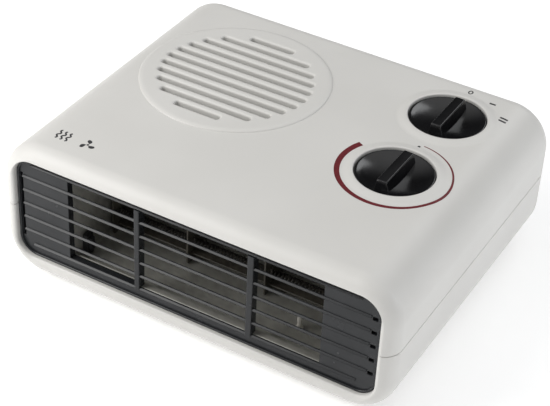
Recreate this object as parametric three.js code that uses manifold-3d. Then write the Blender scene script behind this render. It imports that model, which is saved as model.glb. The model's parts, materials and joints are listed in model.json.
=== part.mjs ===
// Flat fan convector heater, as an assembly of separate pieces.
// Millimetres, +Z up, +X to the right, the air outlet faces -Y.
// The origin is at the middle of the footprint, on the surface that the feet stand on.

import * as THREE from "three";
import { mergeVertices } from "three/addons/utils/BufferGeometryUtils.js";
import Module from "manifold-3d";

const wasm = await Module();
wasm.setup();

// ---------------------------------------------------------------- driving dimensions

const WIDTH = 260;
const DEPTH = 212.7;
const CASE_HEIGHT = 91;
const FOOT_HEIGHT = 3;
const WALL = 2.5;
const SIDE_RADIUS = 26; // the case's cross-section is a rounded rectangle
const END_FILLET = 11.4; // rounding of its front and back edges
const SEAM_Z = 49.7; // the joint between the two half shells
const GAP = 0.3; // clearance between pieces that touch

const TOP_Z = FOOT_HEIGHT + CASE_HEIGHT;
const FLOOR_Z = FOOT_HEIGHT + WALL;
const CEILING_Z = TOP_Z - WALL;
const FRONT_Y = -DEPTH / 2;
const BACK_Y = DEPTH / 2;

const OUTLET = { halfWidth: 120.4, low: 14.9, high: 84.4, radius: 12 };
const GRILLE_Y = FRONT_Y + 3.1; // front face of the grille's frame
const WINDOW = { halfWidth: 84.3, low: 22.4, high: 78.5 };
const BLADES = { count: 7, low: 22.6, pitch: 9.67, height: 1.1, depth: 1.9, halfWidth: 117.4 };
const GRILLE = { plateBack: 1.2, plateThickness: 1.8, frameDepth: 7, collarDepth: 5.8, wall: 1.3 };
const RIBS = [
  { x: -36, width: 3.5 },
  { x: 39, width: 4 },
];

const FAN = { x: -50, y: 26 };
const INTAKE = {
  plateauHeight: 1.2,
  plateauRadius: 60,
  recessRadius: 53,
  barDepth: 6.7,
  slotCircle: 49.3,
  slots: 11,
  pitch: 8.85,
  slotWidth: 4.4,
};

const KNOB = { radius: 23.4, top: 4.7, barLength: 36, barBase: 10.8, barTop: 5.8, bottom: 87.8 };
const WELL = {
  radius: 23.9,
  floorZ: 87,
  wall: 2.3,
  spindleHole: 5,
  collarRadius: 30,
  collarHeight: 1.4,
};
const SELECTOR = { x: 78, y: 59.5 };
const THERMOSTAT = { x: 77.3, y: -8.8 };
const SPINDLE_RADIUS = 3;
const BRACKET_Z = 80;

const DUCT = { frontY: GRILLE_Y + 6.2, backY: -41, floorZ: 17, topZ: 80, sheet: 0.8 };
const DECK_Z = 44; // underside of the fan scroll, which the motor hangs from
const SCROLL_WALL = 1.5;
const COIL = { radius: 2.6, halfLength: 81, rows: [32, 47, 62], columns: [-58, -48] };

const SHAFT_RADIUS = 2.5;
const ROTOR_RADIUS = 13.7;
const STACK = { low: 19, high: 37 }; // the motor's laminations
const MOTOR_SCREWS = [FAN.x - 20, FAN.x + 20]; // the two screws, by their X
const MOTOR_HOLE = 1.9; // clearance for a motor screw's shank

const BOSS = { x: 98, y: 86, radius: 6, pillar: 5, head: 4.4, shank: 2.1, headZ: 30, topZ: 64 };
const PILOT = { post: 3.6, shank: 1.6, topZ: 88 }; // posts and blind holes for the bracket's screws
const FOOT = { x: 92, y: 69, radius: 8, stem: 2.9 };
const GLAND = { x: 50, z: 32.3, flange: 9.2, barrel: 6.2, bore: 3.8 };
const GLAND_PAD = { radius: 12, frontY: 99.5, recess: 2.5 };
const TERMINAL = { x: 50, y: 81, width: 30, depth: 14, top: 18 };
const WIRE_RADIUS = 1.1;

// ---------------------------------------------------------------- materials

const FINISH = {
  whitePlastic: { color: 0xdcdad3, roughness: 0.45, metalness: 0 },
  darkPlastic: { color: 0x2b2f34, roughness: 0.4, metalness: 0 },
  knobPlastic: { color: 0x101012, roughness: 0.2, metalness: 0 },
  blackPlastic: { color: 0x18181a, roughness: 0.6, metalness: 0 },
  galvanised: { color: 0xa9aba8, roughness: 0.4, metalness: 0.9 },
  steel: { color: 0x8f9296, roughness: 0.35, metalness: 1 },
  laminations: { color: 0x5c5f63, roughness: 0.55, metalness: 0.9 },
  copper: { color: 0xa8592c, roughness: 0.4, metalness: 0.8 },
  bronze: { color: 0x9a7440, roughness: 0.4, metalness: 1 },
  mica: { color: 0xb7ad93, roughness: 0.5, metalness: 0 },
  resistanceWire: { color: 0x6f6a66, roughness: 0.45, metalness: 0.9 },
  ceramic: { color: 0xe6e1d6, roughness: 0.5, metalness: 0 },
  rubber: { color: 0x1c1c1c, roughness: 0.9, metalness: 0 },
  brownSleeve: { color: 0x5a3220, roughness: 0.5, metalness: 0 },
  blueSleeve: { color: 0x2c4f86, roughness: 0.5, metalness: 0 },
  whiteSleeve: { color: 0xd8d6cf, roughness: 0.5, metalness: 0 },
};

const heater = new THREE.Group();

function addPiece(name, finish, geometry) {
  const mesh = new THREE.Mesh(geometry, new THREE.MeshStandardMaterial(FINISH[finish]));
  mesh.name = name;
  heater.add(mesh);
  return mesh;
}

// ---------------------------------------------------------------- shapes

function box(x0, x1, y0, y1, z0, z1) {
  const geometry = new THREE.BoxGeometry(x1 - x0, y1 - y0, z1 - z0);
  return geometry.translate((x0 + x1) / 2, (y0 + y1) / 2, (z0 + z1) / 2);
}

// An upright cylinder at (x, y).
function rod(radius, z0, z1, x = 0, y = 0, sides = 24) {
  const geometry = new THREE.CylinderGeometry(radius, radius, z1 - z0, sides);
  return geometry.rotateX(Math.PI / 2).translate(x, y, (z0 + z1) / 2);
}

// A turned piece on an upright axis; the profile is [radius, z] pairs from its bottom to its top.
function turned(profile, x = 0, y = 0, sides = 32) {
  const points = profile.map(([radius, z]) => new THREE.Vector2(radius, z));
  return new THREE.LatheGeometry(points, sides).rotateX(Math.PI / 2).translate(x, y, 0);
}

// A ring: the profile closes on itself, away from the axis.
function ring(inner, outer, z0, z1, x = 0, y = 0, sides = 24) {
  return turned([[inner, z0], [outer, z0], [outer, z1], [inner, z1], [inner, z0]], x, y, sides);
}

function roundedRectangle(halfWidth, low, high, radius) {
  const shape = new THREE.Shape();
  shape.moveTo(-halfWidth + radius, low);
  shape.lineTo(halfWidth - radius, low);
  shape.absarc(halfWidth - radius, low + radius, radius, -Math.PI / 2, 0);
  shape.lineTo(halfWidth, high - radius);
  shape.absarc(halfWidth - radius, high - radius, radius, 0, Math.PI / 2);
  shape.lineTo(-halfWidth + radius, high);
  shape.absarc(-halfWidth + radius, high - radius, radius, Math.PI / 2, Math.PI);
  shape.lineTo(-halfWidth, low + radius);
  shape.absarc(-halfWidth + radius, low + radius, radius, Math.PI, 1.5 * Math.PI);
  return shape;
}

// A shape drawn in X and Z, extruded from y0 to y1; a fillet rounds its two ends.
function alongY(shape, y0, y1, fillet = 0, curveSegments = 3) {
  const geometry = new THREE.ExtrudeGeometry(shape, {
    depth: y1 - y0 - 2 * fillet,
    curveSegments,
    bevelEnabled: fillet > 0,
    bevelThickness: fillet,
    bevelSize: fillet,
    bevelOffset: -fillet,
    bevelSegments: 3,
  });
  return geometry.rotateX(Math.PI / 2).translate(0, y1 - fillet, 0);
}

// A shape drawn in X and Y, extruded from z0 to z1.
function alongZ(shape, z0, z1, curveSegments = 6) {
  const geometry = new THREE.ExtrudeGeometry(shape, {
    depth: z1 - z0,
    curveSegments,
    bevelEnabled: false,
  });
  return geometry.translate(0, 0, z0);
}

function wire(points, radius = WIRE_RADIUS, steps = 10) {
  const section = new THREE.Shape();
  section.absarc(0, 0, radius, 0, 2 * Math.PI);
  const path = new THREE.CatmullRomCurve3(points.map((p) => new THREE.Vector3(...p)));
  return new THREE.ExtrudeGeometry(section, { steps, curveSegments: 4, extrudePath: path });
}

// ---------------------------------------------------------------- joining and cutting

function solid(geometry) {
  const bare = geometry.clone();
  bare.deleteAttribute("normal");
  bare.deleteAttribute("uv");
  const merged = mergeVertices(bare, 1e-4);
  return new wasm.Manifold(
    new wasm.Mesh({
      numProp: 3,
      vertProperties: merged.attributes.position.array,
      triVerts: new Uint32Array(merged.index.array),
    }),
  );
}

function geometryOf(manifold) {
  const mesh = manifold.getMesh();
  const geometry = new THREE.BufferGeometry();
  geometry.setAttribute("position", new THREE.BufferAttribute(mesh.vertProperties, 3));
  geometry.setIndex(new THREE.BufferAttribute(mesh.triVerts, 1));
  geometry.computeVertexNormals();
  return geometry;
}

// Joins the first list of geometries and cuts the second list out of them.
function build(parts, cuts = []) {
  const joined = parts.map(solid).reduce((whole, part) => whole.add(part));
  return geometryOf(cuts.map(solid).reduce((whole, part) => whole.subtract(part), joined));
}

const CORNERS = [
  [-1, -1],
  [1, -1],
  [-1, 1],
  [1, 1],
];
const CORNER_NAMES = ["front_left", "front_right", "rear_left", "rear_right"];

// ---------------------------------------------------------------- case

// The whole case as one filled block, its surface moved in by an inset.
function caseBlock(inset) {
  const low = FOOT_HEIGHT + inset;
  const high = TOP_Z - inset;
  const profile = roundedRectangle(WIDTH / 2 - inset, low, high, SIDE_RADIUS - inset);
  return alongY(profile, FRONT_Y + inset, BACK_Y - inset, END_FILLET - inset);
}

function wideSlab(z0, z1) {
  return box(-WIDTH, WIDTH, -DEPTH, DEPTH, z0, z1);
}

function outletHole() {
  const { halfWidth, low, high, radius } = OUTLET;
  return alongY(roundedRectangle(halfWidth, low, high, radius), FRONT_Y - 5, FRONT_Y + 14);
}

// The moulded shell between z0 and z1, open at the outlet.
function halfShell(z0, z1) {
  return solid(caseBlock(0))
    .subtract(solid(caseBlock(WALL)))
    .subtract(solid(outletHole()))
    .intersect(solid(wideSlab(z0, z1)));
}

function slotHalfLength(offset) {
  const corner = Math.abs(offset) + 2.5;
  return Math.sqrt(INTAKE.slotCircle ** 2 - corner ** 2);
}

function intakeSlot(index) {
  const offset = (index - (INTAKE.slots - 1) / 2) * INTAKE.pitch;
  const half = slotHalfLength(offset);
  const radius = INTAKE.slotWidth / 2;
  const shape = new THREE.Shape();
  shape.absarc(FAN.x + half - radius, FAN.y + offset, radius, -Math.PI / 2, Math.PI / 2);
  shape.absarc(FAN.x - half + radius, FAN.y + offset, radius, Math.PI / 2, 1.5 * Math.PI);
  return alongZ(shape, CEILING_Z - 8, TOP_Z + 5, 2);
}

function intakePlateau() {
  const { plateauHeight, plateauRadius, recessRadius, barDepth } = INTAKE;
  const topZ = TOP_Z + plateauHeight;
  const profile = [
    [0, topZ - barDepth],
    [recessRadius, topZ - barDepth],
    [recessRadius, CEILING_Z + 0.5],
    [plateauRadius, CEILING_Z + 0.5],
    [plateauRadius, TOP_Z],
    [plateauRadius - 1.2, topZ - 0.3],
    [plateauRadius - 2.8, topZ],
    [0, topZ],
  ];
  return turned(profile, FAN.x, FAN.y, 48);
}

function knobCollar({ x, y }) {
  const { radius, floorZ, wall, collarRadius, collarHeight } = WELL;
  const profile = [
    [0, floorZ - wall],
    [radius + wall, floorZ - wall],
    [radius + wall, CEILING_Z + 0.5],
    [collarRadius, CEILING_Z + 0.5],
    [collarRadius, TOP_Z],
    [collarRadius - 3.4, TOP_Z + collarHeight],
    [0, TOP_Z + collarHeight],
  ];
  return turned(profile, x, y, 32);
}

function knobWell({ x, y }) {
  const { radius, floorZ, spindleHole } = WELL;
  return [
    rod(radius, floorZ, TOP_Z + 5, x, y, 32),
    rod(spindleHole, floorZ - 7, floorZ + 3, x, y, 12),
  ];
}

const BRACKET_SCREWS = [
  { name: "bracket_screw_front", x: 78, y: 25.4 },
  { name: "bracket_screw_rear", x: 54, y: 84 },
];

function upperShell() {
  let shell = halfShell(SEAM_Z + GAP / 2, TOP_Z + 5);
  const added = [intakePlateau(), knobCollar(SELECTOR), knobCollar(THERMOSTAT)];
  for (const [sx, sy] of CORNERS) {
    added.push(rod(BOSS.pillar, SEAM_Z + GAP / 2, CEILING_Z + 0.3, sx * BOSS.x, sy * BOSS.y, 12));
  }
  for (const { x, y } of BRACKET_SCREWS) {
    added.push(rod(PILOT.post, BRACKET_Z + 1.5, CEILING_Z + 1, x, y, 10));
  }
  const cuts = [...knobWell(SELECTOR), ...knobWell(THERMOSTAT)];
  for (let i = 0; i < INTAKE.slots; i += 1) {
    cuts.push(intakeSlot(i));
  }
  for (const [sx, sy] of CORNERS) {
    cuts.push(rod(BOSS.shank, SEAM_Z - 5, BOSS.topZ, sx * BOSS.x, sy * BOSS.y, 10));
  }
  for (const { x, y } of BRACKET_SCREWS) {
    cuts.push(rod(PILOT.shank, BRACKET_Z, PILOT.topZ, x, y, 8));
  }
  added.forEach((piece) => {
    shell = shell.add(solid(piece));
  });
  cuts.forEach((piece) => {
    shell = shell.subtract(solid(piece));
  });
  return geometryOf(shell);
}

// A band that follows the inside of the case between two insets.
function innerBand(outerInset, innerInset, z0, z1) {
  return solid(caseBlock(outerInset))
    .subtract(solid(caseBlock(innerInset)))
    .intersect(solid(box(-WIDTH, WIDTH, FRONT_Y + 20, DEPTH, z0, z1)));
}

// Posts under the fan scroll, on a circle round the fan's axis.
const DECK_POSTS = { circle: 52, radius: 4, degrees: [30, 155, 270] };

function deckPost(degrees) {
  const angle = THREE.MathUtils.degToRad(degrees);
  const x = FAN.x + DECK_POSTS.circle * Math.cos(angle);
  const y = FAN.y + DECK_POSTS.circle * Math.sin(angle);
  return rod(DECK_POSTS.radius, FLOOR_Z - 1, DECK_Z - GAP, x, y, 10);
}

// A round disc on the gland's axis, for the thickened wall or for what is cut out of it.
function glandDisc(radius, y0, y1, sides) {
  const geometry = new THREE.CylinderGeometry(radius, radius, y1 - y0, sides);
  return geometry.translate(GLAND.x, (y0 + y1) / 2, GLAND.z);
}

// Upright ribs that carry the duct.
const DUCT_RIBS = [-60, 60].map((x) =>
  box(x - 1.2, x + 1.2, DUCT.frontY + 3, DUCT.backY - 7, FLOOR_Z - 1, DUCT.floorZ - GAP),
);

function lowerShell() {
  let shell = halfShell(0, SEAM_Z - GAP / 2);
  const tongue = innerBand(WALL + GAP, WALL + 1.5, SEAM_Z - 4, SEAM_Z + 3);
  const root = innerBand(WALL - 0.5, WALL + 0.6, SEAM_Z - 4, SEAM_Z - GAP / 2);
  const added = [glandDisc(GLAND_PAD.radius, GLAND_PAD.frontY, BACK_Y - 0.5, 20), ...DUCT_RIBS];
  for (const degrees of DECK_POSTS.degrees) {
    added.push(deckPost(degrees));
  }
  const cuts = [
    glandDisc(GLAND.flange + 0.5, BACK_Y - GLAND_PAD.recess, BACK_Y + 5, 20),
    glandDisc(GLAND.barrel + 0.6, GLAND_PAD.frontY - 9, BACK_Y + 5, 16),
  ];
  for (const [sx, sy] of CORNERS) {
    added.push(rod(BOSS.radius, FLOOR_Z - 1, SEAM_Z - GAP / 2, sx * BOSS.x, sy * BOSS.y, 16));
    cuts.push(rod(BOSS.head, 0, BOSS.headZ, sx * BOSS.x, sy * BOSS.y, 16));
    cuts.push(rod(BOSS.shank, 0, SEAM_Z + 5, sx * BOSS.x, sy * BOSS.y, 10));
    cuts.push(rod(FOOT.stem + 0.4, 0, FLOOR_Z + 2, sx * FOOT.x, sy * FOOT.y, 12));
  }
  shell = shell.add(tongue).add(root);
  added.forEach((piece) => {
    shell = shell.add(solid(piece));
  });
  cuts.forEach((piece) => {
    shell = shell.subtract(solid(piece));
  });
  return geometryOf(shell);
}

// A pan-head screw, head down, its shank upwards from the head's seat.
function screw(headRadius, headHeight, shankRadius, seatZ, length, x, y) {
  const profile = [
    [0, seatZ - headHeight],
    [headRadius, seatZ - headHeight],
    [headRadius, seatZ],
    [shankRadius, seatZ],
    [shankRadius, seatZ + length - 1],
    [shankRadius * 0.4, seatZ + length],
    [0, seatZ + length],
  ];
  return turned(profile, x, y, 8);
}

function foot(x, y) {
  const profile = [
    [0, 0],
    [FOOT.radius - 0.6, 0],
    [FOOT.radius, 0.6],
    [FOOT.radius - 0.4, FOOT_HEIGHT - GAP],
    [FOOT.stem, FOOT_HEIGHT - GAP],
    [FOOT.stem, FLOOR_Z + GAP],
    [4.2, FLOOR_Z + GAP],
    [2.2, FLOOR_Z + 3.5],
    [0, FLOOR_Z + 3.5],
  ];
  return turned(profile, x, y, 12);
}

// The gland's axis runs along Y: it is turned upright and laid over.
function cordGland() {
  const innerEnd = GLAND_PAD.frontY - 5.5;
  const clampEnd = GLAND_PAD.frontY - GAP;
  const flangeBack = BACK_Y - GLAND_PAD.recess + GAP;
  const profile = [
    [GLAND.bore, innerEnd],
    [GLAND.barrel + 1.6, innerEnd],
    [GLAND.barrel + 2, innerEnd + 2],
    [GLAND.barrel + 1.4, clampEnd],
    [GLAND.barrel, clampEnd],
    [GLAND.barrel, flangeBack],
    [GLAND.flange, flangeBack],
    [GLAND.flange - 0.5, BACK_Y - 0.5],
    [GLAND.bore + 1, BACK_Y - 0.5],
    [GLAND.bore, BACK_Y - 1.5],
    [GLAND.bore, innerEnd],
  ];
  return turned(profile, 0, 0, 16).rotateX(-Math.PI / 2).translate(GLAND.x, 0, GLAND.z);
}

addPiece("upper_shell", "whitePlastic", upperShell());
addPiece("lower_shell", "whitePlastic", lowerShell());
CORNERS.forEach(([sx, sy], i) => {
  const seat = BOSS.headZ - GAP;
  const body = screw(3.9, 2.4, 1.7, seat, 26, sx * BOSS.x, sy * BOSS.y);
  addPiece(`case_screw_${CORNER_NAMES[i]}`, "steel", body);
  addPiece(`foot_${CORNER_NAMES[i]}`, "rubber", foot(sx * FOOT.x, sy * FOOT.y));
});
addPiece("cord_gland", "blackPlastic", cordGland());

// ---------------------------------------------------------------- outlet

function windowShape(margin) {
  return roundedRectangle(WINDOW.halfWidth + margin, WINDOW.low - margin, WINDOW.high + margin, 0.5);
}

function outletGrille() {
  const { low, high } = OUTLET;
  const { plateBack, plateThickness, frameDepth, collarDepth, wall } = GRILLE;
  const frame = (inset) =>
    roundedRectangle(OUTLET.halfWidth - inset, low + inset, high - inset, OUTLET.radius - inset);
  const plateY = GRILLE_Y + plateBack;
  const collarEnd = GRILLE_Y + collarDepth;
  const outerInset = 0.4;
  const band = solid(alongY(frame(outerInset), GRILLE_Y, GRILLE_Y + frameDepth)).subtract(
    solid(alongY(frame(outerInset + wall), GRILLE_Y - 1, GRILLE_Y + frameDepth + 1)),
  );
  const plate = alongY(frame(outerInset + 0.8), plateY, plateY + plateThickness);
  const collar = alongY(windowShape(wall), plateY, collarEnd, 0, 1);
  const opening = alongY(windowShape(0), FRONT_Y - 5, collarEnd + 5, 0, 1);
  let grille = band.add(solid(plate)).add(solid(collar)).subtract(solid(opening));
  for (let i = 0; i < BLADES.count; i += 1) {
    const z = BLADES.low + i * BLADES.pitch;
    const atCorner = i === 0 || i === BLADES.count - 1;
    const half = BLADES.halfWidth - (atCorner ? 6 : 0);
    const thick = BLADES.height / 2;
    const blade = box(-half, half, plateY - BLADES.depth, plateY + 0.6, z - thick, z + thick);
    grille = grille.add(solid(blade));
  }
  for (const { x, width } of RIBS) {
    const z0 = WINDOW.low - 1;
    const z1 = WINDOW.high + 1;
    const rib = box(x - width / 2, x + width / 2, GRILLE_Y - 0.2, collarEnd, z0, z1);
    grille = grille.add(solid(rib));
  }
  return geometryOf(grille);
}

addPiece("outlet_grille", "darkPlastic", outletGrille());

// ---------------------------------------------------------------- duct and heating element

const DUCT_HALF = WINDOW.halfWidth + DUCT.sheet;

// A sheet-metal channel with a low rear wall; the fan blows in over that wall.
function outletDuct() {
  const { frontY, backY, floorZ, topZ, sheet } = DUCT;
  const outside = box(-DUCT_HALF, DUCT_HALF, frontY, backY, floorZ, topZ - GAP);
  const passage = box(
    -WINDOW.halfWidth,
    WINDOW.halfWidth,
    frontY - 5,
    backY - sheet,
    floorZ + sheet,
    topZ - GAP - sheet,
  );
  const inlet = box(
    -WINDOW.halfWidth,
    WINDOW.halfWidth,
    backY - 5,
    backY + 5,
    DECK_Z + 2,
    topZ - GAP - sheet,
  );
  return build([outside], [passage, inlet]);
}

const CARD = { count: 4, x0: -80, pitch: 160 / 3, thickness: 1, y0: -64, y1: -42.5, z0: 18.3, z1: 78 };
const RAIL = { halfLength: 82, halfDepth: 7, heights: [24, 71] };

// Upright mica cards, slotted on to two flat mica rails.
function elementFrame() {
  const { thickness, y0, y1, z0, z1 } = CARD;
  const middleY = (y0 + y1) / 2;
  const parts = [];
  for (const z of RAIL.heights) {
    const { halfLength, halfDepth } = RAIL;
    parts.push(
      box(-halfLength, halfLength, middleY - halfDepth, middleY + halfDepth, z, z + thickness),
    );
  }
  for (let i = 0; i < CARD.count; i += 1) {
    const x = CARD.x0 + CARD.pitch * i;
    parts.push(box(x - thickness / 2, x + thickness / 2, y0, y1, z0, z1));
  }
  const cuts = [];
  for (const z of COIL.rows) {
    for (const y of COIL.columns) {
      cuts.push(coilRod(COIL.radius + GAP + 0.1, 90, y, z));
    }
  }
  return build(parts, cuts);
}

function coilRod(radius, halfLength, y, z) {
  const geometry = new THREE.CylinderGeometry(radius, radius, 2 * halfLength, 8);
  return geometry.rotateZ(Math.PI / 2).translate(0, y, z);
}

addPiece("outlet_duct", "galvanised", outletDuct());
addPiece("element_frame", "mica", elementFrame());
let coilNumber = 0;
for (const z of COIL.rows) {
  for (const y of COIL.columns) {
    coilNumber += 1;
    const coil = coilRod(COIL.radius, COIL.halfLength, y, z);
    addPiece(`heating_coil_${coilNumber}`, "resistanceWire", coil);
  }
}
const DUCT_BASE = DUCT.floorZ + DUCT.sheet;

// A snap disc in its housing, on the duct's left wall.
function thermalCutout() {
  const housing = box(-84, -80, -90, -84, DUCT_BASE + 0.5, 33);
  const cap = box(-80.5, -78.4, -89, -85, 22, 31);
  return build([housing, cap]);
}

// A fuse link in an upright ceramic sleeve, on the duct's floor.
function thermalFuse() {
  const low = DUCT_BASE + GAP;
  const profile = [
    [0, low],
    [2.4, low],
    [2.4, low + 0.9],
    [1.3, low + 1.3],
    [1.3, low + 8.9],
    [0.6, low + 9.7],
    [0, low + 9.7],
  ];
  return turned(profile, 58, -77, 12);
}

addPiece("thermal_cutout", "blackPlastic", thermalCutout());
addPiece("thermal_fuse", "ceramic", thermalFuse());

// ---------------------------------------------------------------- fan

const SCROLL = { tongue: 235, start: 50, growth: 16, mouth: 82 };

// The spiral housing seen from above: it winds round the fan and widens towards the duct.
function scrollShape(offset, mouthY) {
  const shape = new THREE.Shape();
  const { tongue, start, growth, mouth } = SCROLL;
  const steps = 24;
  for (let i = 0; i <= steps; i += 1) {
    const angle = THREE.MathUtils.degToRad(tongue * (1 - i / steps));
    const radius = start + (growth * i) / steps + offset;
    const x = FAN.x + radius * Math.cos(angle);
    const y = FAN.y + radius * Math.sin(angle);
    if (i === 0) {
      shape.moveTo(x, y);
    } else {
      shape.lineTo(x, y);
    }
  }
  const side = FAN.x + start + growth + offset;
  shape.lineTo(side, -2 + offset);
  shape.quadraticCurveTo(side + 4, -31 + offset, mouth + offset, -37 + offset);
  shape.lineTo(mouth + offset, mouthY);
  shape.lineTo(-mouth - offset, mouthY);
  return shape;
}

const MOUTH_Y = DUCT.backY + GAP;
const SCROLL_TOP = DUCT.topZ - GAP;

// An open tub, its floor pierced for the shaft and the motor screws.
function fanScroll() {
  const outside = alongZ(scrollShape(SCROLL_WALL, MOUTH_Y), DECK_Z, SCROLL_TOP);
  const inside = alongZ(scrollShape(0, MOUTH_Y - 10), DECK_Z + SCROLL_WALL, SCROLL_TOP + 5);
  const cuts = [inside, rod(6, DECK_Z - 1, DECK_Z + 5, FAN.x, FAN.y, 20)];
  for (const x of MOTOR_SCREWS) {
    cuts.push(rod(MOTOR_HOLE, DECK_Z - 1, DECK_Z + 5, x, FAN.y, 12));
  }
  return build([outside], cuts);
}

const EYE_RADIUS = 38; // the round inlet over the impeller

// A flat lid with a raised lip round the inlet.
function scrollCover() {
  const plate = alongZ(scrollShape(SCROLL_WALL, MOUTH_Y), DUCT.topZ, DUCT.topZ + 1.2);
  const lip = ring(EYE_RADIUS - 1, EYE_RADIUS + 2, DUCT.topZ, DUCT.topZ + 3.5, FAN.x, FAN.y, 32);
  return build([plate, lip], [rod(EYE_RADIUS, DUCT.topZ - 1, DUCT.topZ + 5, FAN.x, FAN.y, 32)]);
}

const IMPELLER = { low: 48.5, high: 76, outer: 45, inner: 35, blades: 24, lean: 0.55, hub: 14 };

function impellerBlade(index) {
  const { low, high, outer, inner, blades, lean } = IMPELLER;
  const length = outer - inner;
  const blade = box(inner - 0.5, inner - 0.5 + length, -0.7, 0.7, low + 0.5, high - 0.5);
  const middle = inner + length / 2;
  blade.translate(-middle, 0, 0).rotateZ(lean).translate(middle, 0, 0);
  return blade.rotateZ((2 * Math.PI * index) / blades).translate(FAN.x, FAN.y, 0);
}

function impeller() {
  const { low, high, outer, blades, hub } = IMPELLER;
  const profile = [
    [0, low],
    [outer - 0.5, low],
    [outer - 0.5, low + 1.5],
    [9, low + 1.8],
    [7, low + hub],
    [0, low + hub],
  ];
  const plate = turned(profile, FAN.x, FAN.y, 32);
  const parts = [plate, ring(39.5, outer - 0.2, high - 2, high, FAN.x, FAN.y, 32)];
  for (let i = 0; i < blades; i += 1) {
    parts.push(impellerBlade(i));
  }
  return build(parts, [rod(SHAFT_RADIUS + GAP, low - 1, high, FAN.x, FAN.y, 16)]);
}

addPiece("fan_scroll", "blackPlastic", fanScroll());
addPiece("scroll_cover", "blackPlastic", scrollCover());
addPiece("impeller", "blackPlastic", impeller());
const CLIP_Z = IMPELLER.low + IMPELLER.hub + GAP;
const clip = ring(SHAFT_RADIUS + GAP, 5, CLIP_Z, CLIP_Z + 1.2, FAN.x, FAN.y, 16);
addPiece("impeller_clip", "steel", clip);
addPiece("motor_shaft", "steel", rod(SHAFT_RADIUS, 10, CLIP_Z + 4, FAN.x, FAN.y, 16));
const rotor = ring(SHAFT_RADIUS + GAP, ROTOR_RADIUS, STACK.low - 1, STACK.high + 1, FAN.x, FAN.y, 24);
addPiece("rotor", "laminations", rotor);

// ---------------------------------------------------------------- motor

const STATOR = { halfWidth: 24, front: 20, slotHalf: 15, slotFront: 47 };
const LIMB = { y0: 64, y1: 74 }; // the bar of the stack that carries the winding
const WINDING = { halfWidth: 14, y0: 57, y1: 81, z0: 12.5, z1: 43 };

function statorCore() {
  const { halfWidth, front, slotHalf, slotFront } = STATOR;
  const below = STACK.low - 5;
  const above = STACK.high + 5;
  const core = box(
    FAN.x - halfWidth,
    FAN.x + halfWidth,
    FAN.y - front,
    LIMB.y1,
    STACK.low,
    STACK.high,
  );
  const bore = rod(ROTOR_RADIUS + 0.6, below, above, FAN.x, FAN.y, 32);
  const slot = box(FAN.x - slotHalf, FAN.x + slotHalf, slotFront, LIMB.y0, below, above);
  const holes = MOTOR_SCREWS.map((x) => rod(MOTOR_HOLE, below, above, x, FAN.y, 12));
  return build([core], [bore, slot, ...holes]);
}

function motorCoil() {
  const { halfWidth, y0, y1, z0, z1 } = WINDING;
  const winding = box(FAN.x - halfWidth, FAN.x + halfWidth, y0, y1, z0, z1);
  const hole = box(
    FAN.x - halfWidth - 5,
    FAN.x + halfWidth + 5,
    LIMB.y0 - GAP,
    LIMB.y1 + GAP,
    STACK.low - GAP,
    STACK.high + GAP,
  );
  return build([winding], [hole]);
}

// A bridge over the rotor, with a foot at each end that the motor screws pass through.
function bearingBracket(footLow, footHigh, bridgeLow) {
  const bridge = box(FAN.x - 20, FAN.x + 20, FAN.y - 7, FAN.y + 7, bridgeLow, bridgeLow + 1.6);
  const feet = MOTOR_SCREWS.map((x) => box(x - 4, x + 4, FAN.y - 7, FAN.y + 7, footLow, footHigh));
  const holes = MOTOR_SCREWS.map((x) => rod(MOTOR_HOLE, footLow - 1, footHigh + 1, x, FAN.y, 12));
  const seat = rod(4.5, bridgeLow - 1, bridgeLow + 3, FAN.x, FAN.y, 20);
  return build([bridge, ...feet], [...holes, seat]);
}

function bearing(bridgeLow) {
  const inner = SHAFT_RADIUS + GAP;
  const low = bridgeLow - 0.6;
  const high = bridgeLow + 2.2;
  return ring(inner, 4.2, low, high, FAN.x, FAN.y, 20);
}

const UPPER_BRIDGE_Z = STACK.high + 2.4;
const LOWER_BRIDGE_Z = STACK.low - 4;

addPiece("stator_core", "laminations", statorCore());
addPiece("motor_coil", "copper", motorCoil());
const upperBracket = bearingBracket(STACK.high + GAP, DECK_Z - GAP, UPPER_BRIDGE_Z);
addPiece("upper_bearing_bracket", "steel", upperBracket);
const lowerBracket = bearingBracket(STACK.low - 6, STACK.low - GAP, LOWER_BRIDGE_Z);
addPiece("lower_bearing_bracket", "steel", lowerBracket);
addPiece("upper_bearing", "bronze", bearing(UPPER_BRIDGE_Z));
addPiece("lower_bearing", "bronze", bearing(LOWER_BRIDGE_Z));
["left", "right"].forEach((side, i) => {
  const body = screw(3.2, 2, 1.5, STACK.low - 6 - GAP, 34.4, MOTOR_SCREWS[i], FAN.y);
  addPiece(`motor_screw_${side}`, "steel", body);
});

// ---------------------------------------------------------------- controls

const CONTROLS = [
  { name: "selector", at: SELECTOR, width: 30, depth: 34, height: 18 },
  { name: "thermostat", at: THERMOSTAT, width: 32, depth: 28, height: 16 },
];
const BRACKET = { x0: 50, x1: 91, y0: -27, y1: 90 };
const BRACKET_TOP = BRACKET_Z + 1.2;
const BUSH = { radius: 4.7, top: 84 }; // the threaded neck of a control
const CONTROL_DEPTH = 10; // how far a spindle reaches down into its control

function controlBracket() {
  const { x0, x1, y0, y1 } = BRACKET;
  const plate = box(x0, x1, y0, y1, BRACKET_Z, BRACKET_TOP);
  const below = BRACKET_Z - 1;
  const above = BRACKET_TOP + 1;
  const cuts = CONTROLS.map(({ at }) => rod(BUSH.radius + 0.5, below, above, at.x, at.y, 20));
  for (const { x, y } of BRACKET_SCREWS) {
    cuts.push(rod(PILOT.shank + 0.1, below, above, x, y, 12));
  }
  return build([plate], cuts);
}

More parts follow.
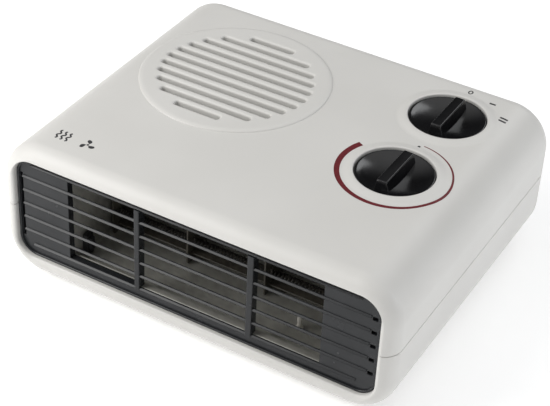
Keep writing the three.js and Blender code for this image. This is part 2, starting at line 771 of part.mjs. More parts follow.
function controlBody({ at, width, depth, height }) {
  const top = BRACKET_Z - GAP;
  const halfX = width / 2;
  const halfY = depth / 2;
  const housing = box(at.x - halfX, at.x + halfX, at.y - halfY, at.y + halfY, top - height, top);
  const bush = rod(BUSH.radius, top - 1, BUSH.top, at.x, at.y, 20);
  const bore = rod(SPINDLE_RADIUS + GAP, top - CONTROL_DEPTH, BUSH.top + 1, at.x, at.y, 20);
  return build([housing, bush], [bore]);
}

function bushNut({ x, y }) {
  const hexagon = rod(7, BRACKET_TOP + GAP, BRACKET_TOP + 2.6, x, y, 6);
  return build([hexagon], [rod(BUSH.radius + GAP, BRACKET_Z, BUSH.top, x, y, 20)]);
}

const KNOB_BORE_TOP = 94;

function knobBar() {
  const low = 90;
  const high = TOP_Z + KNOB.top;
  const base = KNOB.barBase / 2;
  const crest = KNOB.barTop / 2;
  const section = new THREE.Shape();
  section.moveTo(-base, low);
  section.lineTo(base, low);
  section.lineTo(crest + 0.3, high - 0.6);
  section.lineTo(crest - 0.4, high);
  section.lineTo(-crest + 0.4, high);
  section.lineTo(-crest - 0.3, high - 0.6);
  section.closePath();
  return alongY(section, -KNOB.barLength / 2, KNOB.barLength / 2);
}

function knob({ x, y }) {
  const { radius, bottom } = KNOB;
  const rim = TOP_Z + 0.1;
  const disc = turned(
    [
      [0, bottom],
      [radius - 0.3, bottom],
      [radius, bottom + 0.5],
      [radius, rim - 0.4],
      [radius - 0.5, rim],
      [radius - 2, rim - 0.2],
      [radius - 6, rim - 2.2],
      [0, rim - 3],
    ],
    0,
    0,
    32,
  );
  const bore = rod(SPINDLE_RADIUS + GAP, bottom - 1, KNOB_BORE_TOP, 0, 0, 16);
  return build([disc, knobBar()], [bore]).translate(x, y, 0);
}

addPiece("control_bracket", "galvanised", controlBracket());
for (const { name, x, y } of BRACKET_SCREWS) {
  addPiece(name, "steel", screw(2.8, 1.6, 1.3, BRACKET_Z - GAP, 7, x, y));
}
for (const control of CONTROLS) {
  const { name, at } = control;
  const low = BRACKET_Z - CONTROL_DEPTH;
  addPiece(`${name}_body`, "whiteSleeve", controlBody(control));
  addPiece(`${name}_nut`, "steel", bushNut(at));
  addPiece(`${name}_spindle`, "steel", rod(SPINDLE_RADIUS, low, KNOB_BORE_TOP - GAP, at.x, at.y, 16));
  addPiece(`${name}_knob`, "knobPlastic", knob(at));
}

// ---------------------------------------------------------------- wiring

function terminalBlock() {
  const { x, y, width, depth, top } = TERMINAL;
  const block = box(x - width / 2, x + width / 2, y - depth / 2, y + depth / 2, FLOOR_Z + GAP, top);
  const wells = [-10, 0, 10].map((step) => rod(2.6, top - 4, top + 1, x + step, y - 2, 12));
  return build([block], wells);
}

addPiece("terminal_block", "ceramic", terminalBlock());

const WIRES = [
  {
    name: "wire_live",
    finish: "brownSleeve",
    points: [[40, 73.2, 12], [42, 66, 20], [62, 58, 34], [72, 56, 50], [72, 56, 61.2]],
  },
  {
    name: "wire_neutral_element",
    finish: "blueSleeve",
    points: [[50, 73.2, 12], [50, 60, 14], [40, 10, 22], [30, -28, 32], [30, -40.5, 36]],
  },
  {
    name: "wire_neutral_motor",
    finish: "blueSleeve",
    points: [[34.4, 83, 12], [0, 86, 16], [-20, 82, 24], [-35.6, 78, 28]],
  },
  {
    name: "wire_motor_live",
    finish: "brownSleeve",
    points: [[-35.6, 78, 37], [-10, 76, 38], [60, 54, 44], [84, 48, 50], [84, 48, 61.2]],
  },
  {
    name: "wire_thermostat",
    finish: "whiteSleeve",
    points: [[84, 42.1, 70], [84, 32, 66], [84, 18, 66], [84, 5.6, 70]],
  },
  {
    name: "wire_element_live",
    finish: "brownSleeve",
    points: [[70, -12, 63.2], [70, -18, 54], [64, -30, 42], [62, -40.5, 36]],
  },
];
for (const { name, finish, points } of WIRES) {
  addPiece(name, finish, wire(points));
}

export default heater;
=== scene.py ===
import json
import math

import bpy
import bmesh
from mathutils import Matrix, Vector
from mathutils.geometry import tessellate_polygon


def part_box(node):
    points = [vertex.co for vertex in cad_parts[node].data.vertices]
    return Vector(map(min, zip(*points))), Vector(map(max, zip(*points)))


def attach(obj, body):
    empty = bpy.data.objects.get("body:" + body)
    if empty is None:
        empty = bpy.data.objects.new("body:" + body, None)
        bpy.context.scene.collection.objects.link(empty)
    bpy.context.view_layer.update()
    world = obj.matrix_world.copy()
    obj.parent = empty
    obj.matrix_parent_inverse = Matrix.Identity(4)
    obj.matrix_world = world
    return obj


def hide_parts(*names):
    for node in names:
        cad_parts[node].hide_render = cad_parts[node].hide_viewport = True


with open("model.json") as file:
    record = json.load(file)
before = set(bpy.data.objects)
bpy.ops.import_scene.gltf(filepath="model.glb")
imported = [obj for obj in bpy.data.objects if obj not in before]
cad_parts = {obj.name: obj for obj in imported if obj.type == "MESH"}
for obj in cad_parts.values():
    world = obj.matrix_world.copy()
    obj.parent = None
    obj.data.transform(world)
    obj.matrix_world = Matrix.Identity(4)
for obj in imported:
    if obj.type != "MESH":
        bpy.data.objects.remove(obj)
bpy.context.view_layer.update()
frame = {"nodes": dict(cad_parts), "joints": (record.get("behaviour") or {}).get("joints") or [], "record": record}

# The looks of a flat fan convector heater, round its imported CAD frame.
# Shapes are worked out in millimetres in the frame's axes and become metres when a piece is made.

MM = 0.001


def node_box(name):
    """The lowest and highest corner of a CAD node, in millimetres."""
    low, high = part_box(name)
    return low / MM, high / MM


# ---------------- sizes

LOWER, UPPER = node_box("lower_shell"), node_box("upper_shell")
HALF_WIDTH = LOWER[1].x
FRONT, BACK = LOWER[0].y, LOWER[1].y
BOTTOM = LOWER[0].z
# The case: two half shells that meet at SEAM, with a rounded front and back edge.
COLLAR_HEIGHT = 1.4
PLATEAU_HEIGHT = 1.2
TOP = UPPER[1].z - COLLAR_HEIGHT

WALL = 2.5
SIDE_RADIUS = 26.0
END_FILLET = 11.4
SEAM = 49.7
SEAM_GAP = 0.4
SEAM_BEVEL = 0.3
ARC_STEPS = 14
RIM_STEPS = 12

# The air outlet's opening, and the rim round it that rolls in from the case's front.
OPENING = {"half": 120.4, "low": BOTTOM + 11.9, "high": BOTTOM + 81.4, "radius": 12.0}
LIP_INSET = 7.0
LIP_WIDTH = HALF_WIDTH - OPENING["half"] - LIP_INSET
LIP_DEPTH = 5.0

# The case's inside: how far in it stands beyond the wall, and where that is along the case.
INSIDE = [(6, FRONT + LIP_DEPTH), (2, FRONT + 7), (0, FRONT + 13), (0, BACK - END_FILLET)]
INSIDE += [(2.6, BACK - WALL - 2.6), (8.9, BACK - WALL)]
# Of the stretches between cross-sections, only the one with the holes in its flat is longer than this.
FLAT_LENGTH = 0.8 * (BACK - FRONT)
TONGUE = {"outer": WALL + 0.15, "inner": WALL + 1.4, "corner": 9.0, "front": FRONT + 20, "rise": (-4, 2.7, 3)}
BORE = {"radius": 4.4, "floor": 30.0, "shank": 2.1, "boss": 6.0, "top": SEAM - 1}
GLAND_SEAT = {"recess": 9.7, "depth": 2.5, "bore": 6.8, "pad": 12.0, "pad_face": 99.5}

# Raised pieces on the case's top reach SKIRT below its surface.
SKIRT = 1.2
INTAKE = {"slots": 11, "pitch": 8.85, "width": 4.4, "circle": 49.3, "edge": 1.5, "corner": 1.8}
INTAKE |= {"bars": 51.5, "sleeve": 53.0, "hole": 53.4, "outer": 59.8, "rim": 3.4}
BARS_LOW = TOP + PLATEAU_HEIGHT - 6.7
COLLAR = {"outer": 31.4, "hole": 25.6, "sleeve": 25.5, "well": 23.9, "bore": 4.9}
COLLAR |= {"floor": 87.0, "under": 84.7}
# The collar's slope: radius, and height above the case's top.
COLLAR_SLOPE = [(31.4, 0.0), (30.6, 0.06), (29.8, 0.2), (29.0, 0.43), (27.4, 0.95), (26.5, 1.21)]
# The collar's crest and the edge of its well: radius, and depth below the crest.
COLLAR_CREST = [(25.6, 0.04), (24.8, 0.0), (24.3, 0.08), (24.0, 0.4), (23.9, 0.8)]
KNOB = {"rim": TOP + 0.1, "edge": 0.7, "lip": 1.3, "dish": 3.0, "bore": 0.6}
GRIP = {"top": TOP + 4.7, "bottom": TOP - 3.6, "base": 5.4, "crest": 3.35, "reach": 18.0, "edge": 0.9}

# The grille: a frame round a plate, with blades and ribs across the plate's window and a collar behind it.
GRILLE_FACE = FRONT + 3.1
PLATE = GRILLE_FACE + 1.2
PLATE_BACK = PLATE + 1.8
FRAME = {"outer": 0.4, "inner": 1.7, "bevel": 0.3, "back": GRILLE_FACE + 7}
COLLAR_END = GRILLE_FACE + 5.8
WINDOW = {"half": 84.3, "low": 22.4, "high": 78.5, "wall": 1.4}
BLADES = {"count": 7, "low": 22.6, "pitch": 9.67, "left": -116.2, "right": 113.4, "at_corner": 6.0}
END_SLOT = {"width": 1.9, "left": -118.2, "low": 27.0, "high": 73.0}
END_NOTCH = {"left": 113.9, "width": 3.4, "height": 2.6, "drop": 1.2}
RIBS = [(-36.0, 3.5), (39.0, 4.0)]

# What is inside: the duct with the element's cards and coils, the fan's housing and wheel, the fixings.
DUCT = {"sheet": 0.8, "corner": 1.6, "rear_top": 46.0}
CARDS = {"count": 4, "span": 160.0, "thickness": 1.0, "corner": 1.5, "hole": 3.0, "rails": (24, 71)}
COILS = 6
COIL = {"wire": 0.32, "pitch": 2.3, "steps": 14, "lead": 4.0}
SCROLL = {"wrap": 235.0, "near": 50.0, "far": 66.0, "mouth": 82.0, "wall": 1.5}
SCROLL |= {"steps": 60, "throat_steps": 12}
WHEEL = {"blades": 24, "root": 35.0, "reach": 9.6, "ring": 39.5, "ring_height": 2.0, "bore": 2.8, "hub": 14.0}
CROSS = {"arm": 2.0, "half_slot": 0.45, "depth": 1.3}
GLAND = {"bore": 3.8, "neck": 6.2, "flange": 9.2, "inside": BACK - 2.2, "face": BACK - 0.5}

# The printing on top.
PRINT_LIFT = 0.06
PRINT_THICKNESS = 0.14
SCALE = {"radius": 33.3, "start": 86.0, "finish": -207.0, "narrow": 0.6, "growth": 3.3, "steps": 96}
MARKS_RADIUS = 33.4
THERMOSTAT_DOT = 31.2
WAVES_AT = (-100.0, -83.0)
ROTOR_AT = (-83.0, -83.0)

JOINTS = {joint["name"]: Vector(joint["pos_m"]) / MM for joint in frame["joints"]}
FAN = JOINTS["fan_spin"]
SELECTOR = JOINTS["selector_turn"]
THERMOSTAT = JOINTS["thermostat_turn"]


# ---------------- mesh building


class Surface:
    """Points in millimetres and faces between them, made loop by loop."""

    def __init__(self):
        self.points = []
        self.faces = []

    def loop(self, points):
        start = len(self.points)
        self.points.extend(Vector(p) for p in points)
        return list(range(start, len(self.points)))

    def strip(self, a, b, closed=True, skip=None):
        """Quads between two loops; skip is one place along them that stays open."""
        count = len(a)
        for i in range(count if closed else count - 1):
            if i != skip:
                j = (i + 1) % count
                self.faces.append((a[i], a[j], b[j], b[i]))

    def skin(self, loops, closed=True):
        for a, b in zip(loops, loops[1:]):
            self.strip(a, b, closed)

    def ring(self, loops):
        """A skin that also joins its last loop to its first."""
        self.skin([*loops, loops[0]])

    def fill(self, outer, holes=()):
        """A flat face inside one loop and outside the others."""
        loops = [outer, *holes]
        order = [i for loop in loops for i in loop]
        for triangle in tessellate_polygon([[self.points[i] for i in loop] for loop in loops]):
            self.faces.append(tuple(order[i] for i in triangle))

    def capped(self, loops):
        self.skin(loops)
        self.fill(loops[0])
        self.fill(loops[-1])

    def move(self, change):
        self.points = [change(p) for p in self.points]
        return self


def add_object(name, data):
    made = bpy.data.objects.new(name, data)
    bpy.context.scene.collection.objects.link(made)
    return made


def make_piece(name, surface, slot, body="casing", replaces=(), sharp=38.0):
    """One visual piece with its slot's material, shaded smooth up to the sharp angle."""
    mesh = bpy.data.meshes.new(name)
    mesh.from_pydata([p * MM for p in surface.points], [], surface.faces)
    work = bmesh.new()
    work.from_mesh(mesh)
    bmesh.ops.remove_doubles(work, verts=work.verts, dist=0.004 * MM)
    bmesh.ops.recalc_face_normals(work, faces=work.faces)
    work.to_mesh(mesh)
    work.free()
    mesh.polygons.foreach_set("use_smooth", [True] * len(mesh.polygons))
    mesh.set_sharp_from_angle(angle=math.radians(sharp))
    mesh.materials.append(FINISHES[slot])
    piece = add_object(name, mesh)
    weighted = piece.modifiers.new("weighted_normals", "WEIGHTED_NORMAL")
    weighted.keep_sharp = True
    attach(piece, body)
    if replaces:
        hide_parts(*replaces)


def turn(degrees):
    return math.cos(math.radians(degrees)), math.sin(math.radians(degrees))


def circle(radius, a, b, sides):
    """A closed round outline in two directions."""
    steps = [turn(360 * i / sides) for i in range(sides)]
    return [(a + radius * c, b + radius * s) for c, s in steps]


def turned(surface, profile, x, y, sides):
    """Loops round an upright axis, one for each [radius, z] of the profile."""
    return [surface.loop(at_z(circle(radius, x, y, sides), z)) for radius, z in profile]


def quarter(centre, radius, start, steps):
    """Points of a quarter of a circle, from a start angle in degrees."""
    angles = [turn(start + 90 * i / steps) for i in range(steps + 1)]
    return [(centre[0] + radius * c, centre[1] + radius * s) for c, s in angles]


def rounded_rectangle(half_x, low, high, radius, steps, middle=0.0):
    """A closed outline in two directions, anticlockwise from its lower right corner."""
    corners = [
        (half_x - radius, low + radius, -90),
        (half_x - radius, high - radius, 0),
        (radius - half_x, high - radius, 90),
        (radius - half_x, low + radius, 180),
    ]
    outline = []
    for cx, cz, start in corners:
        outline += quarter((middle + cx, cz), radius, start, steps)
    return outline


def at_y(outline, y):
    return [(a, y, b) for a, b in outline]


def at_z(outline, z):
    return [(a, b, z) for a, b in outline]


def block(surface, low, high, bevel):
    """A box with its upright edges and its top and bottom rims bevelled."""
    half = ((high[0] - low[0]) / 2, (high[1] - low[1]) / 2)
    middle = ((high[0] + low[0]) / 2, (high[1] + low[1]) / 2)
    rim = bevel * 0.9

    def level(inset, z):
        y_low, y_high = middle[1] - half[1] + inset, middle[1] + half[1] - inset
        return surface.loop(at_z(rounded_rectangle(half[0] - inset, y_low, y_high, bevel, 2, middle[0]), z))

    levels = ((rim, low[2]), (0.0, low[2] + rim), (0.0, high[2] - rim), (rim, high[2]))
    surface.capped([level(inset, z) for inset, z in levels])


def sweep(surface, path, radius, sides):
    """A round wire along a path of points."""
    loops = []
    side = Vector((0, 0, 1))
    for i, point in enumerate(path):
        ahead = path[min(i + 1, len(path) - 1)] - path[max(i - 1, 0)]
        ahead.normalize()
        side = (side - ahead * side.dot(ahead)).normalized()
        across = ahead.cross(side)
        loops.append(surface.loop([point + side * a + across * b for a, b in circle(radius, 0, 0, sides)]))
    surface.capped(loops)


# ---------------- materials


class Finish:
    """A node material, built up by its own small set of procedural layers."""

    def __init__(self, name, roughness, metallic, specular):
        self.material = bpy.data.materials.new(name)
        self.material.use_nodes = True
        self.nodes = self.material.node_tree.nodes
        self.links = self.material.node_tree.links
        self.shader = self.nodes["Principled BSDF"]
        self.shader.inputs["Roughness"].default_value = roughness
        self.shader.inputs["Metallic"].default_value = metallic
        self.shader.inputs["Specular IOR Level"].default_value = specular
        self.place = self.add("TexCoord").outputs["Object"]

    def add(self, kind, **inputs):
        """A node with its inputs set, or linked where a socket is given."""
        node = self.nodes.new(f"ShaderNode{kind}")
        for name, value in inputs.items():
            socket = node.inputs[name.replace("_", " ")]
            if isinstance(value, bpy.types.NodeSocket):
                self.links.new(value, socket)
            else:
                socket.default_value = value
        return node

    def noise(self, scale, detail, stretch=(1.0, 1.0, 1.0)):
        """Noise of that many cells to the metre, drawn out along the axes."""
        place = self.add("Mapping", Vector=self.place, Scale=stretch).outputs["Vector"]
        return self.add("TexNoise", Vector=place, Scale=scale, Detail=detail).outputs["Fac"]

    def cells(self, scale):
        """Distance from the middles of scattered cells, like spangle or flakes."""
        return self.add("TexVoronoi", Vector=self.place, Scale=scale).outputs["Distance"]

    def bands(self, scale, direction):
        """Fine stripes across a direction, like stacked sheets or wound wire."""
        wave = self.add("TexWave", Vector=self.place, Scale=scale, Distortion=0.4)
        wave.bands_direction = direction
        return wave.outputs["Fac"]

    def colour(self, factor, first, second, low=0.35, high=0.65):
        """Base colour between two colours, by a factor from low to high."""
        ramp = self.add("ValToRGB", Fac=factor)
        for stop, position, colour in zip(ramp.color_ramp.elements, (low, high), (first, second)):
            stop.position = position
            stop.color = (*colour, 1.0)
        self.links.new(ramp.outputs["Color"], self.shader.inputs["Base Color"])

    def roughness(self, factor, low, high):
        """Roughness between two values, by a factor from 0 to 1."""
        span = self.add("MapRange", Value=factor, To_Min=low, To_Max=high)
        self.links.new(span.outputs["Result"], self.shader.inputs["Roughness"])

    def bump(self, factor, depth_mm, strength):
        """A surface relief of that depth, by a factor."""
        relief = self.add("Bump", Height=factor, Strength=strength, Distance=depth_mm * MM)
        self.links.new(relief.outputs["Normal"], self.shader.inputs["Normal"])


# Each finish: roughness, metallic and specular; then the pattern and the two ends of its colour, the pattern
# and the two ends of its roughness, and the pattern, depth and strength of its relief.
SETTINGS = {
    "white_plastic": (
        (0.42, 0.0, 0.45), (("noise", 14, 4), (0.645, 0.637, 0.612), (0.672, 0.664, 0.64)),
        (("noise", 60, 3), 0.37, 0.47), (("noise", 1500, 2), 0.02, 0.35),
    ),
    "dark_plastic": (
        (0.26, 0.0, 0.3), (("noise", 40, 4), (0.0175, 0.019, 0.021), (0.0235, 0.025, 0.0275)),
        (("noise", 90, 3), 0.22, 0.3), (("noise", 1300, 2), 0.02, 0.4),
    ),
    "knob_plastic": (
        (0.15, 0.0, 0.55), (("noise", 70, 3), (0.0035, 0.0035, 0.004), (0.0055, 0.0055, 0.0065)),
        (("noise", 220, 4), 0.11, 0.2), (("noise", 300, 3), 0.01, 0.15),
    ),
    "black_plastic": (
        (0.55, 0.0, 0.5), (("noise", 60, 4), (0.012, 0.012, 0.013), (0.022, 0.022, 0.023)),
        (("noise", 120, 3), 0.48, 0.62), (("noise", 900, 2), 0.03, 0.5),
    ),
    # The duct's steel is darker than bare galvanised sheet: partly its dull grey, partly painted shade for the dim
    # inside of the duct.
    "galvanised_steel": (
        (0.5, 0.4, 0.5), (("cells", 140), (0.31, 0.305, 0.28), (0.40, 0.395, 0.36), 0.1, 0.8),
        (("noise", 160, 4), 0.42, 0.58), (("noise", 700, 3, (0.15, 1, 1)), 0.02, 0.4),
    ),
    "steel": (
        (0.3, 1.0, 0.5), (("noise", 200, 4), (0.46, 0.47, 0.49), (0.6, 0.61, 0.62)),
        (("noise", 320, 4, (1, 1, 0.1)), 0.22, 0.4), (("noise", 1600, 2, (1, 1, 0.1)), 0.01, 0.4),
    ),
    "laminations": (
        (0.5, 0.9, 0.5), (("bands", 640, "Z"), (0.10, 0.105, 0.115), (0.26, 0.265, 0.28), 0.2, 0.7),
        (("noise", 200, 3), 0.42, 0.6), (("bands", 640, "Z"), 0.06, 0.6),
    ),
    "copper_winding": (
        (0.35, 0.85, 0.5), (("bands", 900, "X"), (0.20, 0.062, 0.025), (0.52, 0.2, 0.09), 0.2, 0.8),
        (("noise", 300, 3), 0.28, 0.45), (("bands", 900, "X"), 0.12, 0.8),
    ),
    "bronze": (
        (0.4, 1.0, 0.5), (("noise", 500, 4), (0.32, 0.2, 0.09), (0.45, 0.3, 0.14)),
        (("noise", 900, 2), 0.34, 0.5), (("noise", 2500, 2), 0.01, 0.4),
    ),
    "mica": (
        (0.4, 0.0, 0.6), (("cells", 260), (0.045, 0.04, 0.032), (0.085, 0.077, 0.062), 0.1, 0.7),
        (("noise", 350, 4), 0.28, 0.55), (("cells", 260), 0.04, 0.5),
    ),
    "resistance_wire": (
        (0.42, 0.9, 0.5), (("noise", 180, 4), (0.05, 0.046, 0.044), (0.10, 0.095, 0.092)),
        (("noise", 600, 3), 0.35, 0.55), (("noise", 3000, 2), 0.005, 0.4),
    ),
    "ceramic": (
        (0.6, 0.0, 0.3), (("noise", 150, 4), (0.60, 0.57, 0.51), (0.70, 0.68, 0.63)),
        (("noise", 300, 3), 0.5, 0.7), (("noise", 1800, 3), 0.02, 0.5),
    ),
    "control_housing": (
        (0.5, 0.0, 0.4), (("noise", 90, 4), (0.48, 0.45, 0.37), (0.56, 0.53, 0.45)),
        (("noise", 200, 3), 0.42, 0.58), (("noise", 1200, 2), 0.02, 0.5),
    ),
    "rubber": (
        (0.85, 0.0, 0.25), (("noise", 110, 4), (0.012, 0.012, 0.012), (0.024, 0.024, 0.024)),
        (("noise", 260, 3), 0.75, 0.92), (("noise", 1400, 3), 0.04, 0.6),
    ),
}
SLEEVES = {
    "brown_sleeve": ((0.07, 0.022, 0.01), (0.10, 0.034, 0.016)),
    "blue_sleeve": ((0.018, 0.06, 0.20), (0.028, 0.08, 0.26)),
    "white_sleeve": ((0.55, 0.54, 0.5), (0.64, 0.63, 0.59)),
}
PRINTS = {
    "red_print": ((0.11, 0.007, 0.012), (0.15, 0.01, 0.016)),
    "grey_print": ((0.03, 0.03, 0.032), (0.045, 0.045, 0.048)),
}
for sleeve, tones in SLEEVES.items():
    layers = (("noise", 120, 3), *tones), (("noise", 300, 3), 0.36, 0.5), (("noise", 900, 2), 0.01, 0.4)
    SETTINGS[sleeve] = ((0.42, 0.0, 0.45), *layers)
for ink, tones in PRINTS.items():
    layers = (("noise", 500, 4), *tones), (("noise", 700, 3), 0.42, 0.58), (("noise", 2200, 2), 0.006, 0.5)
    SETTINGS[ink] = ((0.5, 0.0, 0.35), *layers)


def make_finish(name, shine, *layers):
    """The material of a slot. Each layer is a pattern, its kind first, and the values that go with it."""
    f = Finish(name, *shine)
    patterns = {"noise": f.noise, "cells": f.cells, "bands": f.bands}
    for add, (pattern, *values) in zip((f.colour, f.roughness, f.bump), layers):
        kind, *settings = pattern
        add(patterns[kind](*settings), *values)
    return f.material


FINISHES = {name: make_finish(name, *settings) for name, settings in SETTINGS.items()}


# ---------------- case shells


def side_drop(x):
    """How far the case's top falls at x, where its side starts to round over."""
    past = min(max(0.0, abs(x) - (HALF_WIDTH - SIDE_RADIUS)), SIDE_RADIUS)
    return SIDE_RADIUS - math.sqrt(SIDE_RADIUS ** 2 - past ** 2)


def corner_arc(half, far, radius, side):
    """From the case's side round to its top or bottom, in X and Z."""
    steps = [turn(90 * i / ARC_STEPS) for i in range(ARC_STEPS + 1)]
    return [(half - radius + radius * c, far - side * radius + side * radius * s) for c, s in steps]


def half_ring(arc, y, facing, side, bevel):
    """One cross-section of a half shell, from its right seam edge over to its left one.

    facing is the angle that the surface looks towards: 0 outwards, 90 forwards, -90 backwards."""
    edge = SEAM + side * SEAM_GAP / 2
    out, fore = turn(facing)
    points = []
    for i in range(3):
        c, s = turn(45 * i)
        depth = bevel * (1 - s)
        points.append((arc[0][0] - depth * out, y + depth * fore, edge + side * bevel * (1 - c)))
    points += [(x, y, z) for x, z in arc]
    return points + [(-x, py, z) for x, py, z in reversed(points)]


def case_arc(inset, side):
    far = TOP - inset if side > 0 else BOTTOM + inset
    return corner_arc(HALF_WIDTH - inset, far, SIDE_RADIUS - inset, side)


def opening_arc(side):
    far = OPENING["high"] if side > 0 else OPENING["low"]
    return corner_arc(OPENING["half"], far, OPENING["radius"], side)


def mixed(a, b, share):
    return [(p[0] + (q[0] - p[0]) * share, p[1] + (q[1] - p[1]) * share) for p, q in zip(a, b)]


def outer_stations(side):
    """Cross-sections of the outside: round the back edge, along the case, round the front rim."""
    stations = []
    for i in range(ARC_STEPS + 1):
        angle = 90 * i / ARC_STEPS
        c, s = turn(angle)
        stations.append((case_arc(END_FILLET * (1 - s), side), BACK - END_FILLET * (1 - c), angle - 90))
    last = math.degrees(math.acos(1 - LIP_INSET / END_FILLET))
    c, s = turn(last)
    radius = LIP_WIDTH / (1 + c)
    fillet_end = FRONT + radius * (1 - s)
    lip_y = FRONT + radius
    for i in range(ARC_STEPS + 1):
        facing = last * i / ARC_STEPS
        cos, sin = turn(facing)
        stations.append((case_arc(END_FILLET * (1 - cos), side), fillet_end + END_FILLET * (s - sin), facing))
    rim, opening = case_arc(LIP_INSET, side), opening_arc(side)
    for i in range(1, RIM_STEPS + 1):
        facing = last + (180 - last) * i / RIM_STEPS
        cos, sin = turn(facing)
        share = radius * (c - cos) / LIP_WIDTH
        stations.append((mixed(rim, opening, share), lip_y - radius * sin, facing))
    stations.append((opening, FRONT + LIP_DEPTH, 180))
    return stations


def inner_stations(side):
    """Cross-sections of the inside, from the front wall to the back."""
    return [(case_arc(WALL + inset, side), y) for inset, y in INSIDE]


def bore_loops(surface, x, y):
    """A deep screw bore in the underside, with its boss inside: outermost loop first."""
    radius, floor, shank, boss, top = BORE.values()
    profile = [(radius + 0.4, BOTTOM), (radius + 0.1, BOTTOM + 0.1), (radius, BOTTOM + 0.4), (radius, floor)]
    profile += [(shank, floor), (shank, top), (boss, top), (boss, BOTTOM + WALL)]
    return turned(surface, profile, x, y, 40)


def gland_loops(surface, gland):
    """The recess and the bore for the cord gland in the rear wall: outermost loop first."""
    recess, depth, bore, pad, pad_face = GLAND_SEAT.values()
    seat = BACK - depth
    sizes = [(recess + 0.2, BACK), (recess, BACK - 0.3), (recess, seat), (bore, seat), (bore, pad_face)]
    sizes += [(pad, pad_face), (pad, BACK - WALL)]
    return [surface.loop(at_y(circle(radius, gland.x, gland.z, 56), y)) for radius, y in sizes]


def half_shell(side, wall_holes, gland=None):
    """One half of the case, the upper one if side is 1 and the lower one if it is -1.

    wall_holes(surface) gives chains of loops through its flat top or bottom."""
    surface = Surface()
    outer = [
        surface.loop(half_ring(arc, y, facing, side, SEAM_BEVEL))
        for arc, y, facing in outer_stations(side)
    ]
    inner = [surface.loop(half_ring(arc, y, 0, side, 0.0)) for arc, y in inner_stations(side)]
    rings = outer + inner
    middle = len(outer[0]) // 2 - 1
    chains = wall_holes(surface)
    for a, b in zip(rings, rings[1:]):
        flat = abs(surface.points[a[middle]].y - surface.points[b[middle]].y) > FLAT_LENGTH
        surface.strip(a, b, closed=False, skip=middle if flat else None)
        if flat:
            corners = [a[middle], a[middle + 1], b[middle + 1], b[middle]]
            outside = a in outer
            surface.fill(corners, [chain[0 if outside else -1] for chain in chains])
    for chain in chains:
        surface.skin(chain)
    back, inside = rings[0], rings[-1]
    passage = gland_loops(surface, gland) if gland else []
    surface.fill(back[2:-2], passage[:1])
    surface.fill(inside[2:-2], passage[-1:])
    surface.skin(passage)
    for i in range(2):
        surface.faces.append((back[i], back[i + 1], back[-2 - i], back[-1 - i]))
    right = [ring[0] for ring in rings]
    left = [ring[-1] for ring in rings]
    surface.fill(right + left[::-1])
    return surface


def upper_holes(surface):
    chains = []
    for centre, radius in ((FAN, INTAKE["hole"]), (SELECTOR, COLLAR["hole"]), (THERMOSTAT, COLLAR["hole"])):
        chains.append(turned(surface, [(radius, TOP), (radius, TOP - WALL)], centre.x, centre.y, 96))
    return chains


def screw_places():
    names = ["front_left", "front_right", "rear_left", "rear_right"]
    return [(name, sum(node_box(f"case_screw_{name}"), Vector()) / 2) for name in names]


def lower_holes(surface):
    return [bore_loops(surface, middle.x, middle.y) for _, middle in screw_places()]


def slot_loops(surface, index, top):
    """One intake slot: rounded at its upper edge, straight below."""
    offset = (index - (INTAKE["slots"] - 1) / 2) * INTAKE["pitch"]
    half = math.sqrt(INTAKE["circle"] ** 2 - (abs(offset) + 2.5) ** 2)
    y, edge = FAN.y + offset, INTAKE["edge"]

    def level(grow, z):
        width = INTAKE["width"] / 2 + grow
        outline = rounded_rectangle(half + grow, y - width, y + width, INTAKE["corner"] + grow, 5, FAN.x)
        return surface.loop(at_z(outline, z))

    rounded = [turn(90 * i / 4) for i in range(5)]
    return [level(edge * (1 - s), top - edge * (1 - c)) for c, s in rounded] + [level(0.0, BARS_LOW)]


def follow_side(surface, centre, inner, outer):
    """Lets a raised piece's outer edge follow the case where its side rounds over."""

    def moved(p):
        away = math.hypot(p.x - centre.x, p.y - centre.y)
        share = min(max((away - inner) / (outer - inner), 0.0), 1.0)
        return p - Vector((0, 0, side_drop(p.x) * share))

    return surface.move(moved)


def intake_plate():
    """The raised round plate on top with the slots between its bars."""
    surface = Surface()
    top, low = TOP + PLATEAU_HEIGHT, TOP - SKIRT
    bars, sleeve, outer = INTAKE["bars"], INTAKE["sleeve"], INTAKE["outer"]
    profile = [(bars, top)]
    for angle in range(90, -1, -10):
        c, s = turn(angle)
        profile.append((outer - INTAKE["rim"] * (1 - c), TOP - 0.1 + (PLATEAU_HEIGHT + 0.1) * s))
    profile += [(outer, low), (sleeve, low), (sleeve, BARS_LOW), (bars, BARS_LOW)]
    loops = turned(surface, profile, FAN.x, FAN.y, 128)
    slots = [slot_loops(surface, i, top) for i in range(INTAKE["slots"])]
    surface.skin(loops)
    surface.fill(loops[0], [slot[0] for slot in slots])
    surface.fill(loops[-1], [slot[-1] for slot in slots])
    for slot in slots:
        surface.skin(slot)
    return follow_side(surface, FAN, sleeve + 0.5, outer)


def knob_collar(centre):
    """The low cone round a knob and the well that the knob turns in."""
    surface = Surface()
    low, crest = TOP - SKIRT, TOP + COLLAR_HEIGHT
    outer, hole, sleeve, well, bore, floor, under = COLLAR.values()
    profile = [(outer, low)]
    profile += [(radius, TOP + height) for radius, height in COLLAR_SLOPE]
    profile += [(radius, crest - depth) for radius, depth in COLLAR_CREST]
    profile += [(well, floor + 0.3), (well - 0.3, floor), (bore, floor)]
    profile += [(bore, under), (sleeve, under), (sleeve, low)]
    surface.ring(turned(surface, profile, centre.x, centre.y, 96))
    return follow_side(surface, centre, hole, outer)


def joined(*surfaces):
    whole = Surface()
    for part in surfaces:
        start = len(whole.points)
        whole.points += part.points
        whole.faces += [tuple(i + start for i in face) for face in part.faces]
    return whole


